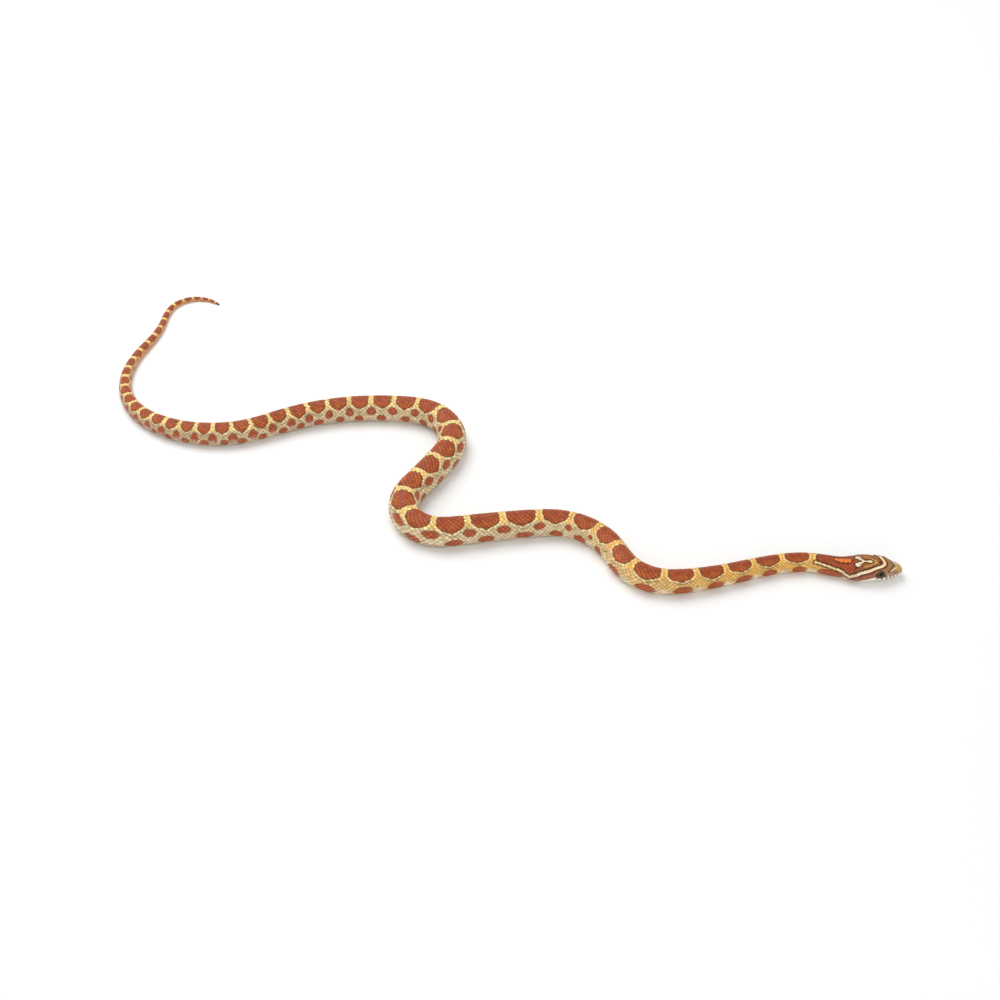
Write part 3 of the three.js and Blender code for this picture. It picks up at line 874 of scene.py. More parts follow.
@dataclass(frozen=True)
class HeadMarks:
    """Marks of the head, by distance back and distance across, share of the girth or height.

    A size with two values gives a strength and a width. An edge, a start or an end with two values
    gives where it begins and where it is complete.
    """

    arm_course: Course = (
        (7.1, 0.0), (7.7, 0.13), (8.9, 0.21), (10.7, 0.27), (12.2, 0.32), (14.2, 0.39),
        (17.1, 0.44), (20.3, 0.53), (22.5, 0.62), (23.4, 0.68), (24.6, 0.64), (25.7, 0.59),
        (26.8, 0.51), (28.0, 0.47), (34.0, 0.38), (40.0, 0.3),
    )
    far_drop: Course = (
        (7.1, 0.0), (8.3, 0.05), (9.6, 0.17), (11.5, 0.22), (17.0, 0.2), (21.0, 0.08), (24.0, 0.0),
    )
    lip_course: Course = (
        (10.0, 0.70), (11.5, 0.69), (13.4, 0.73), (15.8, 0.77), (17.6, 0.84), (18.7, 0.90),
        (20.5, 0.99), (26.0, 1.1),
    )
    lip_line: Course = ((0, 2.35), (3, 2.2), (9, 2.3), (13.5, 2.6), (17, 2.95), (24, 1.6))
    stem: Course = ((12.9, 0), (17.2, 0))
    lobe: Course = ((17.0, 0), (18.2, 1.0), (19.4, 1.75), (20.4, 2.05))
    streak: Course = ((10.6, 0.1), (11.6, 0.8), (14.0, 2.1), (16.6, 2.85))
    nape: Course = ((24.0, 0), (30.5, 0))
    snout_line: Course = ((2.2, 0.8), (2.9, 1.4), (4.3, 2.7), (4.9, 3.2))
    snout_border: Course = ((3.1, 0), (3.8, 1.0), (5.2, 3.0), (5.8, 3.9))
    crown_dark: Course = ((8.3, 0), (9.3, 0))
    arm_widths: Course = (
        (6, 0.75), (8, 0.62), (11, 0.52), (14, 0.55), (17, 0.6), (20, 0.62), (23, 0.6), (25, 0.5),
        (28, 0.48), (41, 0.42),
    )
    stem_widths: Course = (
        (12.5, 0.1), (13.1, 0.45), (13.9, 0.7), (15.0, 0.36), (16.2, 0.26), (17.2, 0.4),
    )
    lobe_widths: Course = ((17.0, 0.35), (18.2, 0.5), (19.4, 0.88), (20.6, 0.85))
    nape_widths: Course = ((22.5, 0.6), (24, 1.15), (28, 1.2), (31.5, 0.5))
    border: float = 0.72
    border_strength: float = 0.92
    band_edge: float = 0.08
    reach: float = 46.0
    nape_span: tuple[float, float] = (17.0, 37.0)
    crown_end: tuple[float, float] = (19.0, 22.0)
    olive_spot: float = 11.0
    olive_size: float = 1.1
    cheek_end: float = 24.0
    stripe_start: tuple[float, float] = (10.8, 11.4)
    stripe_end: float = 23.0
    stripe_lift: float = 0.05
    stripe_edge: tuple[float, float] = (-0.005, 0.02)
    stripe_line: float = 0.065
    stripe_line_width: float = 0.022
    jaw_start: tuple[float, float] = (17.5, 20.0)
    jaw_edge: tuple[float, float] = (0.04, 0.06)
    face_end: tuple[float, float] = (7.2, 7.9)
    face_height: float = 1.1
    side_of_face: tuple[float, float] = (0.38, 0.48)
    snout_height: float = 0.9
    snout_side: tuple[float, float] = (0.26, 0.42)
    snout_tip_end: tuple[float, float] = (1.2, 2.4)
    snout_tip_height: tuple[float, float] = (3.4, 4.2)
    cheek_spots: tuple[tuple[float, float, float], ...] = (
        (6.9, 4.3, 0.55),
        (4.9, 4.0, 0.5),
        (3.1, 4.3, 0.4),
    )
    pale_spot: tuple[float, float] = (5.8, 3.9)
    pale_size: tuple[float, float] = (0.4, 0.35)
    lip_end: float = 12.0
    lip_below: float = 0.9
    lip_above: float = 1.7
    lip_fade: float = 1.0
    lip_bars: Course = ((2.1, 0.24), (3.5, 0.3), (4.9, 0.36), (6.5, 0.38), (8.5, 0.36), (10.9, 0.24))
    bar_middle: float = 0.75
    bar_height: float = 0.8
    bar_strength: float = 0.92
    throat_end: float = 19.0
    throat_side: float = 0.6
    throat_fade: float = 0.25
    nape_deep: tuple[float, float] = (0.5, 0.2)
    streak_olive: tuple[float, float] = (0.85, 0.45)
    streak_border: tuple[float, float] = (0.45, 0.3)
    streak_border_place: float = 0.85
    olive_strength: float = 0.9
    speckle_edge: tuple[float, float] = (0.1, 0.6)
    speckle_waves: tuple[tuple[float, float, float], ...] = (
        (5.1, 2.3, 0.0),
        (-1.9, 3.7, 0.0),
        (2.9, 0.0, 4.4),
    )
    speckle_dark: float = 0.5
    speckle_olive_from: float = 0.15
    speckle_olive: float = 0.45
    crown_dark_size: tuple[float, float] = (0.9, 0.75)
    stripe_line_strength: float = 0.75
    face_fade: float = 0.3
    loreal_strength: float = 0.85
    snout_strength: float = 0.9
    tip_strength: float = 0.7
    snout_border_size: tuple[float, float] = (0.85, 0.36)
    snout_line_edge: tuple[float, float] = (0.12, 0.22)
    cheek_spot_strength: float = 0.55
    cheek_spots_beyond: float = 1.5
    pale_strength: float = 0.7
    pale_beyond: float = 2.0
    lip_strength: float = 0.95
    lips_beyond: float = 1.0
    bars_beyond: float = 1.6
    warm_place: float = 7.3
    warm_width: float = 0.9
    warm_strength: float = 0.9
    warm_rear: tuple[float, float] = (24, 32)
    warm_rear_strength: float = 0.7
    border_fade: tuple[float, float] = (0.5, 1.6)


@dataclass(frozen=True)
class HeadPoints:
    """Points of the head and how they stand to its marks."""

    straight: Array
    share: Array
    arm: Array
    above_arm: Array
    jaw_top: Array

    @property
    def s(self) -> Array:
        """Distance back from the snout."""
        return self.straight[:, 0]

    @property
    def width(self) -> Array:
        """Distance from the midline."""
        return np.abs(self.straight[:, 1])

    @property
    def up(self) -> Array:
        """Height."""
        return self.straight[:, 2]


@dataclass
class Markings:
    """Lays the animal's colours: head bands, saddles, side spots, ground and belly checks."""

    form: BodyForm
    palette: Palette = field(default_factory=Palette)
    saddles: SaddlePattern = field(default_factory=SaddlePattern)
    flank: FlankPattern = field(default_factory=FlankPattern)
    underside: BellyPattern = field(default_factory=BellyPattern)
    marks: HeadMarks = field(default_factory=HeadMarks)

    def __post_init__(self) -> None:
        """Lays out the gaps between saddles and the lines of the head's marks."""
        rng = np.random.default_rng(SEED)
        saddles, marks, form = self.saddles, self.marks, self.form
        pitches = np.array(saddles.pitches)
        gaps = [saddles.first_gap]
        while gaps[-1] < form.rows[-1, 0] + saddles.past_tip:
            gaps.append(gaps[-1] + float(read_table(pitches, 1, np.array([gaps[-1]]))[0]))
        self.gaps = np.array(gaps)
        self.jitter = rng.uniform(-1, 1, (len(gaps) + 1, len(Side), saddles.draws))
        near_course = marks.arm_course
        far_course = tuple(
            (back, share + float(follow(marks.far_drop, back))) for back, share in near_course
        )
        self.courses = {Side.RIGHT: near_course, Side.LEFT: far_course}
        self.arms = {
            side: [Line(View.GIRTH, course).on_surface(form)] for side, course in self.courses.items()
        }

    def distance(self, straight: Array, course: Course) -> Array:
        """Distance from points to a line seen from above."""
        return distance_to_lines(straight, [Line(View.ABOVE, course).on_surface(self.form)])

    def colour(self, straight: Array, share: Array) -> Array:
        """Colour at points of the surface.

        Args:
            straight: rows of distance along the spine, distance across and height.
            share: way round each point lies, 0 on the back, 1 on the belly's edge, over 1 below.

        Returns:
            Rows of linear colours.
        """
        body = self.body_colour(straight[:, 0], share, np.sign(straight[:, 1]))
        near_head = straight[:, 0] < self.marks.reach
        if near_head.any():
            head = self.head_colour(straight[near_head], share[near_head], body[near_head])
            body[near_head] = head
        return body

    def body_colour(self, s: Array, share: Array, side: Array) -> Array:
        """Saddles, gaps, spots, ground and belly behind the head.

        Args:
            s: distance of each point along the spine.
            share: way round each point lies, 1 on the belly's edge.
            side: sign of the side that each point lies on.

        Returns:
            Rows of linear colours.
        """
        palette, saddles, gaps = self.palette, self.saddles, self.gaps
        ahead = s < gaps[0]
        i = np.clip(np.searchsorted(gaps, s) - 1, 0, len(gaps) - 2)
        pitch = np.where(ahead, saddles.nape_saddle, gaps[i + 1] - gaps[i])
        middle = np.where(ahead, gaps[0] - saddles.nape_saddle / 2, (gaps[i] + gaps[i + 1]) / 2)
        wobble = self.jitter[np.where(ahead, len(gaps), i), (side > 0).astype(int)]
        x = (s - middle) / (pitch / 2)
        zones = Zones(
            front=1 - smooth_step(*saddles.front_span, s),
            rear=smooth_step(*saddles.rear_span, s),
            tail=smooth_step(*saddles.tail_span, s),
        )
        inside = saddles.inside(x, share, s, zones, wobble)
        colour = self.ground_colour(s, share, inside, zones)
        colour = self.add_spots(colour, s, share, x, wobble, zones)
        on_saddle = smooth_step(-saddles.outline, saddles.outline, inside)
        colour = lay(colour, self.saddle_colour(share, x, inside, zones), on_saddle)
        return self.add_belly(colour, s, share, side, zones.tail)

    def ground_colour(self, s: Array, share: Array, inside: Array, zones: Zones) -> Array:
        """Orange gaps, ground, the cream rim of the saddles and the broken dark line below it."""
        palette, saddles = self.palette, self.saddles
        ground = mix(palette.ground_front, palette.ground_middle, smooth_step(*saddles.ground_span, s))
        ground = mix(ground, palette.ground_rear, zones.rear)
        ground = mix(ground, palette.tail_ground, zones.tail)
        gap = mix(palette.gap_front, palette.gap_rear, smooth_step(*saddles.gap_span, s))
        colour = mix(gap, ground, smooth_step(*saddles.gap_edge, share))
        body = 1 - zones.tail
        rim = near(inside + saddles.rim_place, saddles.rim_width)
        rim = rim * (1 - smooth_step(*saddles.rim_end, share))
        colour = lay(colour, palette.cream, saddles.rim_strength * rim * body)
        line = near(inside + saddles.line_place, saddles.line_width)
        line = line * smooth_step(*saddles.line_start, share)
        line = line * smooth_step(*saddles.line_breaks, saddles.weave(s, share))
        strength = saddles.line_strength + saddles.line_stronger_front * zones.front
        return lay(colour, palette.saddle_edge, strength * line * body)

    def saddle_colour(self, share: Array, x: Array, inside: Array, zones: Zones) -> Array:
        """Red brown saddles, deeper on the back, flecked below and edged dark."""
        palette, saddles = self.palette, self.saddles
        saddle = mix(palette.saddle, palette.tail_saddle, zones.tail)
        high, long = saddles.fleck_size
        fleck = near(share - saddles.fleck_place, high) * near(x, long) * (1 - zones.tail)
        saddle = lay(saddle, palette.saddle_fleck, saddles.fleck_strength * fleck)
        deep = saddles.deep_strength * near(share, saddles.deep_width)
        saddle = lay(saddle, palette.saddle_deep, deep)
        edge = (1 - smooth_step(*saddles.dark_edge, inside)) * (1 - saddles.tail_edge_fade * zones.tail)
        return lay(saddle, palette.saddle_edge, saddles.dark_edge_strength * edge)

    def add_spots(
        self, colour: Array, s: Array, share: Array, x: Array, wobble: Array, zones: Zones
    ) -> Array:
        """Rows of side spots at the gaps and below the saddles, and white between them in front.

        Args:
            colour: the colours so far.
            s: distance of each point along the spine.
            share: way round each point lies, 1 on the belly's edge.
            x: place along the saddle, 0 in its middle and 1 at its pitch's ends.
            wobble: the random draws that hold at each point.
            zones: how far each point belongs to front, rear and tail.

        Returns:
            Rows of linear colours.
        """
        palette, flank = self.palette, self.flank
        flank_zones = Zones(zones.front, smooth_step(*flank.rear_span, s), zones.tail)
        slide = flank.slide_front * zones.front - flank.slide_wobble * wobble[:, flank.slide_draw]
        to_gap = np.abs(1 - np.abs(x))
        along = {SpotPlace.GAP: to_gap, SpotPlace.SADDLE: np.abs(x + slide)}
        for row in flank.rows:
            inside = row.inside(along[row.place], share, flank_zones, wobble)
            present = smooth_step(*flank.outline, inside) * row.strength
            present = present * (1 - flank.paler_tail * zones.tail)
            edge = flank.edge_strength * near(inside - flank.edge_place, flank.edge_width)
            colour = lay(colour, mix(palette.side_spot, palette.saddle_edge, edge), present)
        white = near(to_gap, flank.white_width) * smooth_step(*flank.white_start, share)
        white = white * (1 - zones.tail) * (0.5 + 0.5 * zones.front)
        return lay(colour, palette.white, flank.white_strength * white)

    def add_belly(self, colour: Array, s: Array, share: Array, side: Array, tail: Array) -> Array:
        """Pale belly with dark checks in blocks, and two dark lines under the tail."""
        palette, underside = self.palette, self.underside
        half = self.form.half_girth_at(s)
        keel = self.form.keel_at(s)
        from_middle = np.clip((1 - share * keel) * half, 0, None)
        from_middle = from_middle / np.maximum((1 - keel) * half, underside.least_width)
        inner, outer = underside.block_reach
        block = underside.filled(s, side) & (from_middle > inner) & (from_middle < outer)
        belly = np.where(block[:, None], palette.check, palette.belly)
        tail_line = mix(palette.check, palette.tail_ground, underside.tail_line_paler)
        in_line = np.abs(from_middle - underside.tail_line_place) < underside.tail_line_half
        lines = np.where(in_line[:, None], tail_line, palette.belly)
        belly = np.where((tail > 0.5)[:, None], lines, belly)
        belly = np.where((s < underside.throat_end)[:, None], palette.belly, belly)
        return mix(colour, belly, smooth_step(*underside.edge, share))

    def head_points(self, straight: Array, share: Array) -> HeadPoints:
        """Works out how points of the head stand to the pale band and to the mouth."""
        s, across, _ = straight.T
        on_right = across > 0
        reach = {side: distance_to_lines(straight, self.arms[side]) for side in Side}
        limits = {side: follow(self.courses[side], s) for side in Side}
        limit = np.where(on_right, limits[Side.RIGHT], limits[Side.LEFT])
        return HeadPoints(
            straight=straight,
            share=share,
            arm=np.where(on_right, reach[Side.RIGHT], reach[Side.LEFT]),
            above_arm=(share < limit) & (s > self.marks.arm_course[0][0]),
            jaw_top=follow(self.marks.lip_line, s),
        )

    def head_colour(self, straight: Array, share: Array, body: Array) -> Array:
        """Bands and marks of the head and nape, laid over the colours of the body."""
        marks = self.marks
        at = self.head_points(straight, share)
        start, end = marks.nape_span
        strength, width = marks.nape_deep
        nape = lay(self.saddle_ground(share), self.palette.saddle_deep, strength * near(share, width))
        colour = np.where((at.above_arm & (at.s > start) & (at.s < end))[:, None], nape, body)
        on_crown = at.above_arm * (1 - smooth_step(*marks.crown_end, at.s))
        colour = lay(colour, self.crown_colour(at), on_crown)
        colour = self.add_cheek(colour, at)
        colour = self.add_snout(colour, at)
        colour = self.add_lips(colour, at)
        colour = self.add_bands(colour, at)
        throat = smooth_step(0, marks.throat_fade, at.jaw_top - at.up) * (at.s < marks.throat_end)
        return lay(colour, self.palette.belly, throat * (share > marks.throat_side))

    def saddle_ground(self, share: Array) -> Array:
        """Plain saddle colour, one row for each point."""
        return np.broadcast_to(self.palette.saddle, (len(share), 3))

    def crown_colour(self, at: HeadPoints) -> Array:
        """Brown crown with an olive streak on each side, speckled, and dark behind the band."""
        palette, marks = self.palette, self.marks
        streak = self.distance(at.straight, marks.streak)
        crown = np.broadcast_to(palette.head_brown, at.straight.shape)
        strength, width = marks.streak_olive
        crown = lay(crown, palette.head_olive, strength * near(streak, width))
        from_spot = np.hypot(at.s - marks.olive_spot, at.width)
        crown = lay(crown, palette.head_olive, marks.olive_strength * near(from_spot, marks.olive_size))
        strength, width = marks.streak_border
        crown = lay(crown, palette.head_deep, strength * near(streak - marks.streak_border_place, width))
        speckle = np.prod(np.sin(at.straight @ np.array(marks.speckle_waves).T), axis=1)
        low, high = marks.speckle_edge
        crown = lay(crown, palette.head_deep, marks.speckle_dark * smooth_step(low, high, speckle))
        olive = smooth_step(marks.speckle_olive_from, high, -speckle)
        crown = lay(crown, palette.head_olive, marks.speckle_olive * olive)
        strength, width = marks.crown_dark_size
        dark = near(self.distance(at.straight, marks.crown_dark), width, FLAT_TOPPED)
        return lay(crown, palette.head_deep, strength * dark)

    def add_cheek(self, colour: Array, at: HeadPoints) -> Array:
        """White cheek, the brown stripe behind the eye with its dark edge, and the tan of the jaw."""
        palette, marks = self.palette, self.marks
        cheek = (at.s < marks.cheek_end) & ~at.above_arm
        lip_share = follow(marks.lip_course, at.s)
        colour = np.where(cheek[:, None], palette.lip, colour)
        in_stripe = smooth_step(*marks.stripe_edge, lip_share - marks.stripe_lift - at.share) * cheek
        colour = lay(colour, palette.front_band, in_stripe)
        behind_eye = smooth_step(*marks.stripe_start, at.s)
        colour = lay(colour, palette.eye_stripe, in_stripe * behind_eye)
        edge = near(lip_share - marks.stripe_line - at.share, marks.stripe_line_width) * behind_eye
        edge = marks.stripe_line_strength * edge * (at.s < marks.stripe_end)
        colour = lay(colour, palette.head_deep, edge * cheek)
        behind_jaw = smooth_step(*marks.jaw_edge, at.share - lip_share)
        behind_jaw = behind_jaw * smooth_step(*marks.jaw_start, at.s)
        return lay(colour, palette.jaw_tan, behind_jaw * cheek * (at.share < 1.0))

    def add_snout(self, colour: Array, at: HeadPoints) -> Array:
        """Brown band before the eyes, mauve sides, tan snout with its pale line, and dark spots."""
        palette, marks = self.palette, self.marks
        over_lip = at.up - at.jaw_top
        face = 1 - smooth_step(*marks.face_end, at.s)
        face = face * smooth_step(0, marks.face_fade, over_lip - marks.face_height)
        colour = lay(colour, palette.front_band, face)
        side = marks.loreal_strength * smooth_step(*marks.side_of_face, at.share)
        colour = lay(colour, palette.loreal, face * side)
        edge_back, edge_across = np.array(marks.snout_border).T
        on_snout = (at.s < np.interp(at.width, edge_across, edge_back)) & (over_lip > marks.snout_height)
        above = marks.snout_strength * (1 - smooth_step(*marks.snout_side, at.share))
        colour = lay(colour, palette.snout, on_snout * above)
        tip = (1 - smooth_step(*marks.snout_tip_end, at.s)) * smooth_step(*marks.snout_tip_height, at.up)
        colour = lay(colour, palette.snout_tip, marks.tip_strength * tip)
        strength, width = marks.snout_border_size
        border = near(self.distance(at.straight, marks.snout_border), width)
        colour = lay(colour, palette.head_deep, strength * border)
        line = self.distance(at.straight, marks.snout_line)
        colour = lay(colour, palette.band, 1 - smooth_step(*marks.snout_line_edge, line))
        spots = np.zeros_like(at.s)
        for back, height, size in marks.cheek_spots:
            spots += near(np.hypot(at.s - back, at.up - height), size)
        spots = np.clip(spots, 0, 1) * (at.width > marks.cheek_spots_beyond)
        colour = lay(colour, palette.lip_bar, marks.cheek_spot_strength * spots)
        back, height = marks.pale_spot
        long, high = marks.pale_size
        pale = near(at.s - back, long) * near(at.up - height, high) * (at.width > marks.pale_beyond)
        return lay(colour, palette.lip, marks.pale_strength * pale)

    def add_lips(self, colour: Array, at: HeadPoints) -> Array:
        """White upper lips with a dark bar at each seam."""
        palette, marks = self.palette, self.marks
        over_lip = at.up - at.jaw_top
        on_lip = (over_lip > -marks.lip_below) & (over_lip < marks.lip_above)
        on_lip = on_lip & (at.s < marks.lip_end) & (at.width > marks.lips_beyond)
        white = marks.lip_strength * (1 - smooth_step(marks.lip_fade, marks.lip_above, over_lip))
        colour = lay(colour, palette.lip, on_lip * white)
        bars = np.zeros_like(at.s)
        for centre, size in marks.lip_bars:
            bars += near(at.s - centre, size)
        height = near(over_lip - marks.bar_middle, marks.bar_height, FLAT_TOPPED)
        bars = np.clip(bars * height * (at.width > marks.bars_beyond), 0, marks.bar_strength)
        return lay(colour, palette.lip_bar, bars)

    def add_bands(self, colour: Array, at: HeadPoints) -> Array:
        """The pale chevron over the eyes, the forked mark behind it and the nape stripe, dark-edged."""
        palette, marks = self.palette, self.marks
        s = at.s
        warm = marks.warm_strength * near(s - marks.warm_place, marks.warm_width)
        warm = warm + marks.warm_rear_strength * smooth_step(*marks.warm_rear, s)
        band = mix(palette.band, palette.band_warm, np.clip(warm, 0, 1))
        forked = np.minimum(
            self.distance(at.straight, marks.stem) - follow(marks.stem_widths, s),
            self.distance(at.straight, marks.lobe) - follow(marks.lobe_widths, s),
        )
        nape = self.distance(at.straight, marks.nape) - follow(marks.nape_widths, s)
        border_start, border_end = (marks.border * fade for fade in marks.border_fade)
        for outside, paint in (
            (at.arm - follow(marks.arm_widths, s), band),
            (forked, palette.band),
            (nape, palette.nape_stripe),
        ):
            dark = 1 - smooth_step(border_start, border_end, outside)
            colour = lay(colour, palette.head_deep, marks.border_strength * dark)
            colour = lay(colour, paint, 1 - smooth_step(-marks.band_edge, marks.band_edge, outside))
        return colour


def painted_material(name: str, scale: float, detail: float, spread: float) -> bpy.types.Material:
    """Makes a material that shows the mesh's markings, mottled a little lighter and darker.

    Args:
        name: the material's name.
        scale: scale of the mottling noise.
        detail: detail of the mottling noise.
        spread: how far the mottling goes each way from the painted colour.

    Returns:
        The material, with its base colour joined up.
    """
    material = bpy.data.materials.new(name)
    material.use_nodes = True
    nodes = material.node_tree.nodes
    links = material.node_tree.links
    paint = nodes.new("ShaderNodeAttribute")
    paint.attribute_name = COLOUR_NAME
    place = nodes.new("ShaderNodeTexCoord")
    noise = nodes.new("ShaderNodeTexNoise")
    noise.inputs["Scale"].default_value = scale
    noise.inputs["Detail"].default_value = detail
    links.new(place.outputs["Object"], noise.inputs["Vector"])
    range_of_shade = nodes.new("ShaderNodeMapRange")
    range_of_shade.inputs["To Min"].default_value = 1 - spread
    range_of_shade.inputs["To Max"].default_value = 1 + spread
    links.new(noise.outputs["Fac"], range_of_shade.inputs["Value"])
    shade = nodes.new("ShaderNodeVectorMath")
    shade.operation = "SCALE"
    links.new(paint.outputs["Color"], shade.inputs[0])
    links.new(range_of_shade.outputs["Result"], shade.inputs["Scale"])
    links.new(shade.outputs["Vector"], nodes["Principled BSDF"].inputs["Base Color"])
    return material


@dataclass(frozen=True)
class SkinFinish:
    """Satin horn over coloured skin, with a fine grain."""

    name: str
    roughness: float = 0.46
    sheen: float = 0.28
    grain_scale: float = 5200.0
    grain_height: float = 0.12
    grain_depth: float = 0.00004
    mottle_scale: float = 900.0
    mottle_detail: float = 3.0
    mottle: float = 0.14
    gloss: float = 0.06
    gloss_roughness: float = 0.25
    smoother: float = 0.06
    rougher: float = 0.1
    grain_detail: float = 2.0

    def make(self) -> bpy.types.Material:
        """Builds the material.

        Returns:
            A node material that reads the markings from the mesh.
        """
        material = painted_material(self.name, self.mottle_scale, self.mottle_detail, self.mottle)
        nodes = material.node_tree.nodes
        links = material.node_tree.links
        shader = nodes["Principled BSDF"]
        place = nodes.new("ShaderNodeTexCoord")
        grain = nodes.new("ShaderNodeTexNoise")
        grain.inputs["Scale"].default_value = self.grain_scale
        grain.inputs["Detail"].default_value = self.grain_detail
        links.new(place.outputs["Object"], grain.inputs["Vector"])
        rough = nodes.new("ShaderNodeMapRange")
        rough.inputs["To Min"].default_value = self.roughness - self.smoother
        rough.inputs["To Max"].default_value = self.roughness + self.rougher
        links.new(grain.outputs["Fac"], rough.inputs["Value"])
        links.new(rough.outputs["Result"], shader.inputs["Roughness"])
        bump = nodes.new("ShaderNodeBump")
        bump.inputs["Strength"].default_value = self.grain_height
        bump.inputs["Distance"].default_value = self.grain_depth
        links.new(grain.outputs["Fac"], bump.inputs["Height"])
        links.new(bump.outputs["Normal"], shader.inputs["Normal"])
        shader.inputs["Specular IOR Level"].default_value = self.sheen
        shader.inputs["Coat Weight"].default_value = self.gloss
        shader.inputs["Coat Roughness"].default_value = self.gloss_roughness
        return material


@dataclass(frozen=True)
class EyeFinish:
    """Clear wet cap over the iris."""

    name: str = "eye_cap"
    roughness: float = 0.05
    sheen: float = 0.3
    fibre_scale: float = 2600.0
    fibre_detail: float = 4.0
    fibres: float = 0.3

    def make(self) -> bpy.types.Material:
        """Builds the eye's material from the iris and pupil painted on its mesh."""
        material = painted_material(self.name, self.fibre_scale, self.fibre_detail, self.fibres)
        shader = material.node_tree.nodes["Principled BSDF"]
        shader.inputs["Roughness"].default_value = self.roughness
        shader.inputs["Specular IOR Level"].default_value = self.sheen
        return material


@dataclass
class Piece:
    """One mesh of the animal, with its markings and its map, ready to be dressed."""

    name: str
    points: Array
    faces: list[list[int]]
    colours: Array
    corner_map: Array

    def build(self, material: bpy.types.Material, slot: str, nodes: list[str]) -> bpy.types.Object:
        """Makes the Blender object.

        Args:
            material: the finish.
            slot: the slot that the finish belongs to; not used.
            nodes: the CAD nodes that the piece stands for.

        Returns:
            The object, riding on the body.
        """
        mesh = bpy.data.meshes.new(self.name)
        mesh.from_pydata((self.points * MM).tolist(), [], self.faces)
        mesh.polygons.foreach_set("use_smooth", np.ones(len(mesh.polygons), bool))
        paint = mesh.color_attributes.new(COLOUR_NAME, "FLOAT_COLOR", "POINT")
        rgba = np.column_stack([np.clip(self.colours, 0, 1), np.ones(len(self.points))])
        paint.data.foreach_set("color", rgba.ravel())
        layer = mesh.uv_layers.new(name=UV_NAME)
        layer.data.foreach_set("uv", self.corner_map.ravel())
        mesh.materials.append(material)
        mesh.update()
        piece = bpy.data.objects.new(self.name, mesh)
        bpy.context.scene.collection.objects.link(piece)
        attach(piece, BODY)
        if nodes:
            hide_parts(*nodes)
        log.info("%s: %d points, %d faces", self.name, len(self.points), len(self.faces))
        return piece


